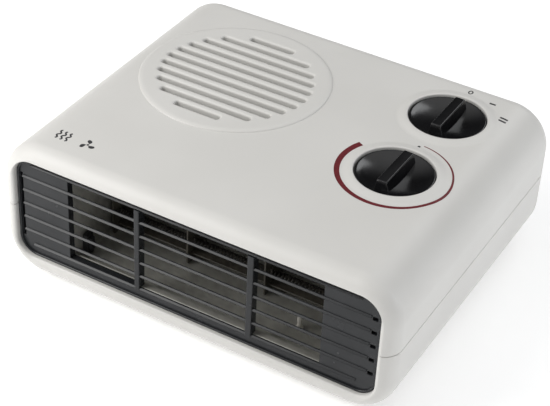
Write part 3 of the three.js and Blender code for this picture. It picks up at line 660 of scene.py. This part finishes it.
def seam_tongue():
    """The lip of the lower shell that stands inside the upper one and closes the joint to light."""
    surface = Surface()

    def path(inset):
        half, rear, corner = HALF_WIDTH - inset, BACK - inset, TONGUE["corner"]
        right = [(half, TONGUE["front"]), *quarter((half - corner, rear - corner), corner, 0, 6)]
        return right + [(-x, y) for x, y in reversed(right)]

    outline = path(TONGUE["outer"]) + path(TONGUE["inner"])[::-1]
    surface.capped([surface.loop(at_z(outline, SEAM + rise)) for rise in TONGUE["rise"]])
    return surface


def make_case():
    upper = joined(half_shell(1, upper_holes), intake_plate(), knob_collar(SELECTOR), knob_collar(THERMOSTAT))
    make_piece("case_upper", upper, "white_plastic", replaces=["upper_shell"])
    low, high = node_box("cord_gland")
    lower = joined(half_shell(-1, lower_holes, (low + high) / 2), seam_tongue())
    make_piece("case_lower", lower, "white_plastic", replaces=["lower_shell"])


# ---------------- outlet grille


def frame_outline(inset):
    half, radius = OPENING["half"] - inset, OPENING["radius"] - inset
    return rounded_rectangle(half, OPENING["low"] + inset, OPENING["high"] - inset, radius, 12)


def window_outline(grow):
    low, high = WINDOW["low"] - grow, WINDOW["high"] + grow
    return rounded_rectangle(WINDOW["half"] + grow, low, high, 0.6 + grow, 3)


def blade_height(index):
    return BLADES["low"] + index * BLADES["pitch"]


def grille_plate():
    """The frame, the closed plate inside it and the collar round its window."""
    surface = Surface()
    outer, inner, bevel = FRAME["outer"], FRAME["inner"], FRAME["bevel"]
    rim = [(inner, PLATE), (inner, GRILLE_FACE + bevel), (inner - bevel, GRILLE_FACE)]
    rim += [(outer + bevel, GRILLE_FACE), (outer, GRILLE_FACE + bevel), (outer, FRAME["back"])]
    rim += [(inner, FRAME["back"]), (inner, PLATE_BACK)]
    sill = [(0.35, PLATE), (0.1, PLATE + 0.1), (0, PLATE + 0.35), (0, COLLAR_END)]
    sill += [(WINDOW["wall"], COLLAR_END), (WINDOW["wall"], PLATE_BACK)]
    chains = [
        [surface.loop(at_y(frame_outline(inset), y)) for inset, y in rim],
        [surface.loop(at_y(window_outline(grow), y)) for grow, y in sill],
    ]
    holes = [(END_SLOT["left"], END_SLOT["width"], END_SLOT["low"], END_SLOT["high"])]
    for i in range(1, BLADES["count"] - 1):
        z, half = blade_height(i) - END_NOTCH["drop"], END_NOTCH["height"] / 2
        holes.append((END_NOTCH["left"], END_NOTCH["width"], z - half, z + half))
    for left, width, low, high in holes:
        outline = rounded_rectangle(width / 2, low, high, 0.5, 3, left + width / 2)
        chains.append([surface.loop(at_y(outline, y)) for y in (PLATE, PLATE_BACK)])
    for chain in chains:
        surface.skin(chain)
    for end in (0, -1):
        surface.fill(chains[0][end], [chain[end] for chain in chains[1:]])
    return surface


def blade(surface, z, left, right):
    """A horizontal blade: its front slopes up and back from a blunt nose to a flat top."""
    nose, crest, root, thick = PLATE - 1.3, PLATE - 0.25, PLATE + 0.4, 0.6
    under, over = z - thick, z + thick
    section = [(root, under), (nose + 0.2, under), (nose, under + 0.2), (nose + 0.05, under + 0.35)]
    section += [(crest - 0.1, over - 0.08), (crest + 0.05, over), (root, over)]
    loops = [surface.loop([(x, y, h) for y, h in section]) for x in (left, right)]
    surface.capped(loops)


def rib(surface, x, width):
    section = rounded_rectangle(width / 2, GRILLE_FACE - 0.3, COLLAR_END, 0.6, 3, x)
    surface.capped([surface.loop(at_z(section, z)) for z in (WINDOW["low"] - 0.8, WINDOW["high"] + 0.8)])


def make_grille():
    surface = grille_plate()
    for i in range(BLADES["count"]):
        shorter = BLADES["at_corner"] if i in (0, BLADES["count"] - 1) else 0
        blade(surface, blade_height(i), BLADES["left"] + shorter, BLADES["right"] - shorter)
    for x, width in RIBS:
        rib(surface, x, width)
    make_piece("grille", surface, "dark_plastic", replaces=["outlet_grille"])


# ---------------- duct and element


def make_duct():
    """The sheet-metal channel behind the grille, with its low rear wall and the lips under the window."""
    low, high = node_box("outlet_duct")
    sheet, corner = DUCT["sheet"], DUCT["corner"]
    surface = Surface()

    def section(inset, y):
        outline = rounded_rectangle(high.x - inset, low.z + inset, high.z - inset, corner - inset, 4)
        return surface.loop(at_y(outline, y))

    surface.ring([section(0, low.y), section(0, high.y), section(sheet, high.y), section(sheet, low.y)])
    rear, side = high.y - sheet, high.x - 1.2
    block(surface, (-side, rear - sheet, low.z + sheet - 0.1), (side, rear, DUCT["rear_top"]), 0.2)
    sill, side = WINDOW["low"] + 0.1, WINDOW["half"] - 0.3
    block(surface, (RIBS[0][0], PLATE + 1.2, sill), (side, low.y + 0.6, sill + 0.5), 0.2)
    block(surface, (-side, low.y + 0.1, low.z + sheet), (side, low.y + 0.7, sill + 0.3), 0.2)
    make_piece("duct_sheet", surface, "galvanised_steel", replaces=["outlet_duct"])


def coil_places():
    """Each heating coil's number, middle, half length and radius."""
    boxes = [(i, node_box(f"heating_coil_{i}")) for i in range(1, COILS + 1)]
    return [(i, (low + high) / 2, (high.x - low.x) / 2, (high.z - low.z) / 2) for i, (low, high) in boxes]


def make_element():
    """The mica cards on their two rails, and the coils that run through the cards."""
    low, high = node_box("element_frame")
    middle = (low.y + high.y) / 2
    coils = coil_places()
    outline = rounded_rectangle((high.y - low.y) / 2, low.z, high.z, CARDS["corner"], 3, middle)
    surface = Surface()
    for i in range(CARDS["count"]):
        card = CARDS["span"] * (i / (CARDS["count"] - 1) - 0.5)
        faces = []
        for x in (card - CARDS["thickness"] / 2, card + CARDS["thickness"] / 2):
            edge = surface.loop([(x, y, z) for y, z in outline])
            holes = [
                surface.loop([(x, y, z) for y, z in circle(CARDS["hole"], centre.y, centre.z, 24)])
                for _, centre, _, _ in coils
            ]
            surface.fill(edge, holes)
            faces.append([edge, *holes])
        for a, b in zip(*faces):
            surface.strip(a, b)
    for z in CARDS["rails"]:
        block(surface, (low.x, middle - 7, z), (high.x, middle + 7, z + 1), 0.15)
    make_piece("mica_cards", surface, "mica", replaces=["element_frame"])
    for place in coils:
        make_coil(*place)


def make_coil(number, centre, half, radius):
    """A wound resistance wire with straight ends."""
    wire, pitch, steps, lead = COIL.values()
    reach = radius - wire
    count = int(2 * (half - lead) / pitch * steps)
    path = [centre + Vector((-half, 0, reach))]
    for i in range(count + 1):
        c, s = turn(360 * i / steps)
        path.append(centre + Vector((-half + lead + pitch * i / steps, reach * s, reach * c)))
    path.append(Vector((centre.x + half, path[-1].y, path[-1].z)))
    surface = Surface()
    sweep(surface, path, wire, 6)
    make_piece(f"coil_{number}", surface, "resistance_wire", replaces=[f"heating_coil_{number}"], sharp=80)


def make_duct_fittings():
    """The thermal fuse in its ceramic sleeve and the thermal cutout, both upright on the duct's floor."""
    low, high = node_box("thermal_fuse")
    middle = (low + high) / 2
    fuse = Surface()
    body = [(2.2, low.z), (2.4, low.z + 0.2), (2.4, 18.8), (1.4, 19.2)]
    neck = [(1.3, 26.6), (1.0, 27.1), (0.5, 27.4), (0.5, high.z)]
    fuse.capped(turned(fuse, body + neck, middle.x, middle.y, 24))
    make_piece("fuse_sleeve", fuse, "ceramic", replaces=["thermal_fuse"])
    low, high = node_box("thermal_cutout")
    cutout = Surface()
    block(cutout, low, (high.x - 1.8, high.y, high.z), 0.5)
    block(cutout, (high.x - 2.2, low.y + 1, 22), (high.x, high.y - 1, 31), 0.4)
    make_piece("cutout_block", cutout, "black_plastic", replaces=["thermal_cutout"])


# ---------------- fan


def scroll_outline(offset, mouth):
    """The spiral housing from above: it winds round the fan and widens towards the duct."""
    steps, near, far = SCROLL["steps"], SCROLL["near"], SCROLL["far"]
    outline = []
    for i in range(steps + 1):
        c, s = turn(SCROLL["wrap"] * (1 - i / steps))
        radius = near + (far - near) * i / steps + offset
        outline.append((FAN.x + radius * c, FAN.y + radius * s))
    side, half = FAN.x + far + offset, SCROLL["mouth"] + offset
    throat = (side, offset - 2), (side + 4, offset - 31), (half, offset - 37)
    for i in range(SCROLL["throat_steps"] + 1):
        t = i / SCROLL["throat_steps"]
        weights = ((1 - t) ** 2, 2 * t * (1 - t), t * t)
        outline.append(tuple(sum(w * p[k] for w, p in zip(weights, throat)) for k in (0, 1)))
    return outline + [(half, mouth), (-half, mouth)]


def make_scroll():
    """The fan's spiral housing, open at its mouth, and the plate with the round inlet above it."""
    low, high = node_box("fan_scroll")
    wall, mouth = SCROLL["wall"], SCROLL["mouth"]
    housing = Surface()
    outer, inner = scroll_outline(wall, low.y), scroll_outline(0, low.y)
    base = [housing.loop(at_z(outer, z)) for z in (low.z, low.z + wall)]
    hub = turned(housing, [(6, low.z), (6, low.z + wall)], FAN.x, FAN.y, 32)
    housing.skin(base)
    housing.fill(base[0], [hub[0]])
    housing.fill(base[1], [hub[1]])
    housing.skin(hub)
    band = [outer[-1], *outer[:-1], (mouth, low.y), *inner[:-2][::-1], (-mouth, low.y)]
    housing.capped([housing.loop(at_z(band, z)) for z in (low.z + wall - 0.05, high.z - 0.3, high.z)])
    make_piece("scroll_housing", housing, "black_plastic", replaces=["fan_scroll"])

    low, high = node_box("scroll_cover")
    face = low.z + 1.2
    cover = Surface()
    plate = [cover.loop(at_z(outer, z)) for z in (low.z, face)]
    bell = [(38, low.z), (37.3, low.z + 1.5), (37.6, high.z - 0.5), (38.6, high.z)]
    bell += [(39.6, high.z - 0.3), (40, low.z + 2), (40.6, face)]
    loops = turned(cover, bell, FAN.x, FAN.y, 96)
    cover.skin(plate)
    cover.fill(plate[0], [loops[0]])
    cover.fill(plate[1], [loops[-1]])
    cover.skin(loops)
    make_piece("inlet_plate", cover, "black_plastic", replaces=["scroll_cover"])


def wheel_blade(angle):
    """The outline of one curved blade, thickest halfway, from above."""
    face = []
    for k in range(7):
        t = k / 6
        radius = WHEEL["root"] + WHEEL["reach"] * t
        face.append((radius, angle + 11 * t * t + 5 * t, 0.35 + 0.35 * math.sin(math.pi * t)))
    outline = []
    for sign, row in ((1, face), (-1, face[::-1])):
        for radius, along, thick in row:
            c, s = turn(along + sign * math.degrees(thick / radius))
            outline.append((FAN.x + radius * c, FAN.y + radius * s))
    return outline


def make_wheel():
    """The fan wheel: a plate with a hub, curved blades and an upper ring."""
    low, high = node_box("impeller")
    surface = Surface()
    outer, bore = (high.x - low.x) / 2, WHEEL["bore"]
    plate = [(bore, 0), (outer - 0.6, 0), (outer - 0.2, 0.4), (outer - 0.3, 1.3), (outer - 0.7, 1.5)]
    hub = [(12, 1.8), (8.5, 3), (7.4, 6), (7, WHEEL["hub"] - 0.4), (6.6, WHEEL["hub"]), (bore, WHEEL["hub"])]
    profile = [(radius, low.z + rise) for radius, rise in plate + hub]
    surface.ring(turned(surface, profile, FAN.x, FAN.y, 96))
    inner, under = WHEEL["ring"], high.z - WHEEL["ring_height"]
    ring = [(inner, under), (outer - 0.3, under), (outer, under + 0.3), (outer, high.z - 0.3)]
    ring += [(outer - 0.3, high.z), (inner + 0.3, high.z), (inner, high.z - 0.3)]
    surface.ring(turned(surface, ring, FAN.x, FAN.y, 96))
    for i in range(WHEEL["blades"]):
        outline = wheel_blade(360 * i / WHEEL["blades"])
        surface.capped([surface.loop(at_z(outline, z)) for z in (low.z + 1.2, high.z - 0.6)])
    make_piece("fan_wheel", surface, "black_plastic", body="fan", replaces=["impeller"])


# ---------------- knobs


def knob_bar(surface):
    """The grip bar: drafted sides, softened crest and upright ends."""
    low, high, edge = GRIP["bottom"], GRIP["top"], GRIP["edge"]
    shoulder = high - edge
    loops = []
    for z in (low, TOP - 2.2, shoulder, *(shoulder + edge * turn(30 * t)[1] for t in (1, 2, 3))):
        share = min((z - low) / (shoulder - low), 1.0)
        rise = max(z - shoulder, 0.0) / edge
        round_over = 0.8 * edge * (1 - math.sqrt(max(0.0, 1 - rise ** 2)))
        half = GRIP["base"] + (GRIP["crest"] - GRIP["base"]) * share - round_over
        length = GRIP["reach"] - 0.35 * share - round_over
        loops.append(surface.loop(at_z(rounded_rectangle(half, -length, length, 0.9, 4), z)))
    surface.capped(loops)


def make_knob(name, centre, body):
    """A dished disc with a rounded edge and its grip bar, built round the origin and moved to its joint."""
    surface = Surface()
    low, high = node_box(f"{name}_knob")
    radius, rim, edge = (high.x - low.x) / 2, KNOB["rim"], KNOB["edge"]
    profile = [(radius - 0.5, low.z), (radius, low.z + 0.5), (radius, rim - edge)]
    profile += quarter((radius - edge, rim - edge), edge, 0, 4)[1:]
    lip = radius - KNOB["lip"]
    profile += [(lip, rim - 0.06), (lip - 0.35, rim - 0.16)]
    for i in range(1, 15):
        r = (lip - 0.35) * (1 - i / 15)
        profile.append((r, rim - 0.16 - KNOB["dish"] * (1 - (r / lip) ** 2)))
    profile.append((KNOB["bore"], low.z))
    surface.ring(turned(surface, profile, 0, 0, 128))
    knob_bar(surface)
    surface.move(lambda p: p + Vector((centre.x, centre.y, 0)))
    make_piece(f"{name}_dial", surface, "knob_plastic", body=body, replaces=[f"{name}_knob"], sharp=50)


# ---------------- feet, screws and gland


def make_feet():
    """Rubber feet with a plug that goes up into the case's floor."""
    for name in ("front_left", "front_right", "rear_left", "rear_right"):
        low, high = node_box(f"foot_{name}")
        middle = (low + high) / 2
        radius = (high.x - low.x) / 2
        surface = Surface()
        pad = [(radius - 2.2, 0.5), (radius - 1.8, 0.0), (radius - 0.8, 0.0), (radius - 0.15, 0.3)]
        pad += [(radius, 0.8), (radius - 0.4, 2.5), (radius - 0.7, 2.7)]
        plug = [(2.9, 2.7), (2.9, 5.8), (4.2, 5.9), (4.0, 6.6), (2.2, 9)]
        surface.capped(turned(surface, pad + plug, middle.x, middle.y, 48))
        make_piece(f"rubber_foot_{name}", surface, "rubber", replaces=[f"foot_{name}"])


def make_screws():
    """Pan-head screws with a cross recess, seen up their bores from below."""
    arm, slot = CROSS["arm"], CROSS["half_slot"]
    for name, middle in screw_places():
        low, high = node_box(f"case_screw_{name}")
        seat = low.z + 2.4
        surface = Surface()
        cross = []
        for side in range(4):
            c, s = turn(90 * side)
            for along, across in ((arm, -slot), (arm, slot), (slot, slot)):
                cross.append((middle.x + along * c - across * s, middle.y + along * s + across * c))
        mouth = surface.loop(at_z(cross, low.z))
        tapered = [((x + middle.x) / 2, (y + middle.y) / 2) for x, y in cross]
        floor = surface.loop(at_z(tapered, low.z + CROSS["depth"]))
        head = [(2.9, low.z), (3.5, low.z + 0.35), (3.85, low.z + 1), (3.9, seat - 0.2), (3.8, seat)]
        shank = [(1.7, seat), (1.7, high.z - 2), (0.4, high.z)]
        loops = turned(surface, head + shank, middle.x, middle.y, 32)
        surface.fill(loops[0], [mouth])
        surface.strip(mouth, floor)
        surface.fill(floor)
        surface.skin(loops)
        surface.fill(loops[-1])
        make_piece(f"pan_screw_{name}", surface, "steel", replaces=[f"case_screw_{name}"])


def make_gland():
    """The grommet that a mains cord would leave by: a flange outside, a neck and a retaining lip inside."""
    low, high = node_box("cord_gland")
    middle = (low + high) / 2
    bore, neck, flange, inside, face = GLAND.values()
    surface = Surface()
    profile = [(bore, low.y), (7.8, low.y), (8.2, 96), (7.6, 99.2), (neck, 99.2), (neck, inside)]
    profile += [(flange, inside), (flange, BACK - 1.1), (flange - 0.2, BACK - 0.7), (flange - 0.7, face)]
    profile += [(5.6, face), (4.9, BACK - 0.7), (4.2, BACK - 1.2), (bore, BACK - 2)]
    surface.ring([surface.loop(at_y(circle(radius, middle.x, middle.z, 48), y)) for radius, y in profile])
    make_piece("gland_ring", surface, "black_plastic", replaces=["cord_gland"])


# ---------------- printing


def on_top(x, y):
    return Vector((x, y, TOP - side_drop(x) + PRINT_LIFT))


def printed_band(surface, left, right):
    """A thin layer of print between two rows of points on the case's top."""
    down = Vector((0, 0, PRINT_THICKNESS))
    upper = [surface.loop([on_top(*p) for p in row]) for row in (left, right)]
    lower = [surface.loop([on_top(*p) - down for p in row]) for row in (left, right)]
    surface.skin([upper[0], upper[1], lower[1], lower[0], upper[0]], closed=False)
    for end in (0, -1):
        surface.faces.append((upper[0][end], upper[1][end], lower[1][end], lower[0][end]))


def stroke(surface, points, width):
    """A printed line of even width through some points."""
    rows = ([], [])
    for i, p in enumerate(points):
        a, b = points[max(i - 1, 0)], points[min(i + 1, len(points) - 1)]
        length = math.hypot(b[0] - a[0], b[1] - a[1])
        nx, ny = -(b[1] - a[1]) / length, (b[0] - a[0]) / length
        rows[0].append((p[0] + nx * width / 2, p[1] + ny * width / 2))
        rows[1].append((p[0] - nx * width / 2, p[1] - ny * width / 2))
    printed_band(surface, *rows)


def printed_dot(surface, x, y, radius):
    outline = [on_top(*p) for p in circle(radius, x, y, 24)]
    surface.capped([
        surface.loop([p - Vector((0, 0, down)) for p in outline])
        for down in (0, PRINT_THICKNESS)
    ])


def make_scale():
    """The thermostat's scale: a band round the knob that widens clockwise."""
    surface = Surface()
    rows = ([], [])
    for i in range(SCALE["steps"] + 1):
        t = i / SCALE["steps"]
        c, s = turn(SCALE["start"] + (SCALE["finish"] - SCALE["start"]) * t)
        half = (SCALE["narrow"] + SCALE["growth"] * t ** 1.15) / 2
        for row, radius in zip(rows, (SCALE["radius"] + half, SCALE["radius"] - half)):
            row.append((THERMOSTAT.x + radius * c, THERMOSTAT.y + radius * s))
    printed_band(surface, *rows)
    make_piece("thermostat_scale", surface, "red_print")


def make_marks():
    """The thermostat's dot, and the selector's ring, one bar and two bars."""
    surface = Surface()
    printed_dot(surface, THERMOSTAT.x, THERMOSTAT.y + THERMOSTAT_DOT, 0.9)
    x, y = SELECTOR.x, SELECTOR.y + MARKS_RADIUS
    stroke(surface, [(x + 1.2 * turn(15 * i)[0], y + 1.75 * turn(15 * i)[1]) for i in range(25)], 0.8)
    for angle, width, offsets in ((60, 4.0, (0,)), (30, 5.0, (-1.5, 1.5))):
        c, s = turn(angle)
        x, y = SELECTOR.x + MARKS_RADIUS * c, SELECTOR.y + MARKS_RADIUS * s
        for offset in offsets:
            stroke(surface, [(x - width / 2 + width * i / 10, y + offset) for i in range(11)], 1.4)
    make_piece("control_marks", surface, "grey_print")


def make_pictogram():
    """A plain heating symbol by the front left corner: rising waves beside a three-bladed fan."""
    surface = Surface()
    x, y = WAVES_AT
    for k in (-1, 0, 1):
        points = [(x + 3.4 * k + 0.8 * turn(60 * i)[1], y - 4.2 + 8.4 * i / 12) for i in range(13)]
        stroke(surface, points, 1.1)
    x, y = ROTOR_AT
    for k in range(3):
        rows = ([], [])
        for i in range(13):
            t = i / 12
            radius = 1.3 + 3.7 * t
            spread = 26 * math.sin(math.pi * (0.15 + 0.85 * t)) ** 0.7
            for row, sign in zip(rows, (1, -1)):
                c, s = turn(90 + 120 * k + 22 * t + sign * spread)
                row.append((x + radius * c, y + radius * s))
        printed_band(surface, *rows)
    printed_dot(surface, x, y, 0.8)
    make_piece("heating_symbol", surface, "grey_print")


# ---------------- stage, light and camera

# Each light's place and target in metres, its width and height, its watts and its colour.
LIGHTS = {
    "top_left": ((-0.55, -0.55, 0.72), (-0.05, -0.08, 0.05), (0.5, 0.5), 4.5, (1.0, 0.99, 0.975)),
    "key_left": ((-0.45, -0.5, 0.26), (-0.08, -0.1, 0.05), (0.3, 0.3), 0.85, (1.0, 0.985, 0.965)),
    "side_right": ((1.0, 0.35, 0.35), (0.1, 0, 0.05), (0.6, 0.4), 2.5, (0.93, 0.955, 1.0)),
    "rear": ((0.2, 0.9, 0.75), (0.05, 0, 0.08), (0.45, 0.4), 1.6, (0.97, 0.985, 1.0)),
}
# Angles in degrees, lengths in millimetres.
CAMERA = {"azimuth": 28.46, "elevation": 36.72, "roll": 3.09, "distance": 985.05, "lens": 105.28}
CAMERA_TARGET = Vector((-2.59, -2.34, BOTTOM + 32.39))
STAGE_REACH = 6.0
STAGE_GLOW = 0.28


def stage_material():
    f = Finish("stage_paper", 0.9, 0.0, 0.1)
    f.colour(f.noise(3, 2), (0.93, 0.93, 0.93), (0.95, 0.95, 0.95))
    f.shader.inputs["Emission Color"].default_value = (1.0, 1.0, 1.0, 1.0)
    f.shader.inputs["Emission Strength"].default_value = STAGE_GLOW
    return f.material


def make_stage():
    mesh = bpy.data.meshes.new("stage_floor")
    corners = [(STAGE_REACH * x, STAGE_REACH * y, 0) for x, y in ((-1, -1), (1, -1), (1, 1), (-1, 1))]
    mesh.from_pydata(corners, [], [(0, 1, 2, 3)])
    mesh.materials.append(stage_material())
    add_object("stage_floor", mesh)


def area_light(name, place, target, size, watts, colour):
    light = bpy.data.lights.new(name, "AREA")
    light.shape = "RECTANGLE"
    light.size, light.size_y = size
    light.energy = watts
    light.color = colour
    lamp = add_object(name, light)
    lamp.location = place
    lamp.rotation_euler = (Vector(target) - Vector(place)).to_track_quat("-Z", "Y").to_euler()


def make_world():
    """A studio that is bright overhead, softer in front and at the sides, and dark low down behind."""
    world = bpy.data.worlds.new("studio")
    world.use_nodes = True
    nodes, links = world.node_tree.nodes, world.node_tree.links
    axes = nodes.new("ShaderNodeSeparateXYZ")
    links.new(nodes.new("ShaderNodeTexCoord").outputs["Generated"], axes.inputs["Vector"])

    def ramp(source, start, end, low, high):
        node = nodes.new("ShaderNodeMapRange")
        node.interpolation_type = "SMOOTHSTEP"
        for socket, value in zip(("From Min", "From Max", "To Min", "To Max"), (start, end, low, high)):
            node.inputs[socket].default_value = value
        links.new(source, node.inputs["Value"])
        return node.outputs["Result"]

    def combine(operation, a, b):
        node = nodes.new("ShaderNodeMath")
        node.operation = operation
        links.new(a, node.inputs[0])
        links.new(b, node.inputs[1])
        return node.outputs["Value"]

    x, y, z = (axes.outputs[name] for name in "XYZ")
    around = ramp(y, 0.4, -0.5, 0.03, 0.22)
    left, right = ramp(x, -0.5, -0.95, 0.0, 0.3), ramp(x, 0.6, 0.95, 0.0, 0.2)
    low = combine("ADD", around, combine("ADD", left, right))
    below = ramp(z, 0.5, 0.9, 1.0, 0.0)
    above = ramp(z, 0.5, 0.9, 0.0, 0.89)
    background = nodes["Background"]
    background.inputs["Color"].default_value = (1.0, 1.0, 1.0, 1.0)
    links.new(combine("ADD", combine("MULTIPLY", low, below), above), background.inputs["Strength"])
    bpy.context.scene.world = world


def make_lights():
    make_world()
    for name, settings in LIGHTS.items():
        area_light(name, *settings)
    bpy.context.scene.view_settings.view_transform = "Standard"


def make_camera():
    """The viewpoint: in front, to the right and above, a little turned about its own axis."""
    azimuth, elevation, roll = (math.radians(CAMERA[key]) for key in ("azimuth", "elevation", "roll"))
    back = Vector((
        math.sin(azimuth) * math.cos(elevation),
        -math.cos(azimuth) * math.cos(elevation),
        math.sin(elevation),
    ))
    level = Vector((0, 0, 1)).cross(back).normalized()
    upward = back.cross(level)
    right = level * math.cos(roll) + upward * math.sin(roll)
    above = upward * math.cos(roll) - level * math.sin(roll)
    data = bpy.data.cameras.new("camera")
    data.sensor_width = 36
    data.lens = CAMERA["lens"]
    data.clip_start, data.clip_end = 0.01, 50
    camera = add_object("camera", data)
    turned_to = Matrix((right, above, back)).transposed().to_4x4()
    place = (CAMERA_TARGET + back * CAMERA["distance"]) * MM
    camera.matrix_world = Matrix.Translation(place) @ turned_to
    bpy.context.scene.camera = camera


# ---------------- the whole scene


def finish_cad_nodes():
    """Gives every CAD piece that still shows the material of its slot."""
    for part in frame["record"]["subparts"]:
        node = frame["nodes"][part["node"]]
        node.data.materials.clear()
        node.data.materials.append(FINISHES[part["material_slot"]])


make_camera()
make_lights()
make_stage()
finish_cad_nodes()
make_case()
make_grille()
make_duct()
make_element()
make_duct_fittings()
make_scroll()
make_wheel()
make_knob("selector", SELECTOR, "selector_dial")
make_knob("thermostat", THERMOSTAT, "thermostat_dial")
make_feet()
make_screws()
make_gland()
make_scale()
make_marks()
make_pictogram()
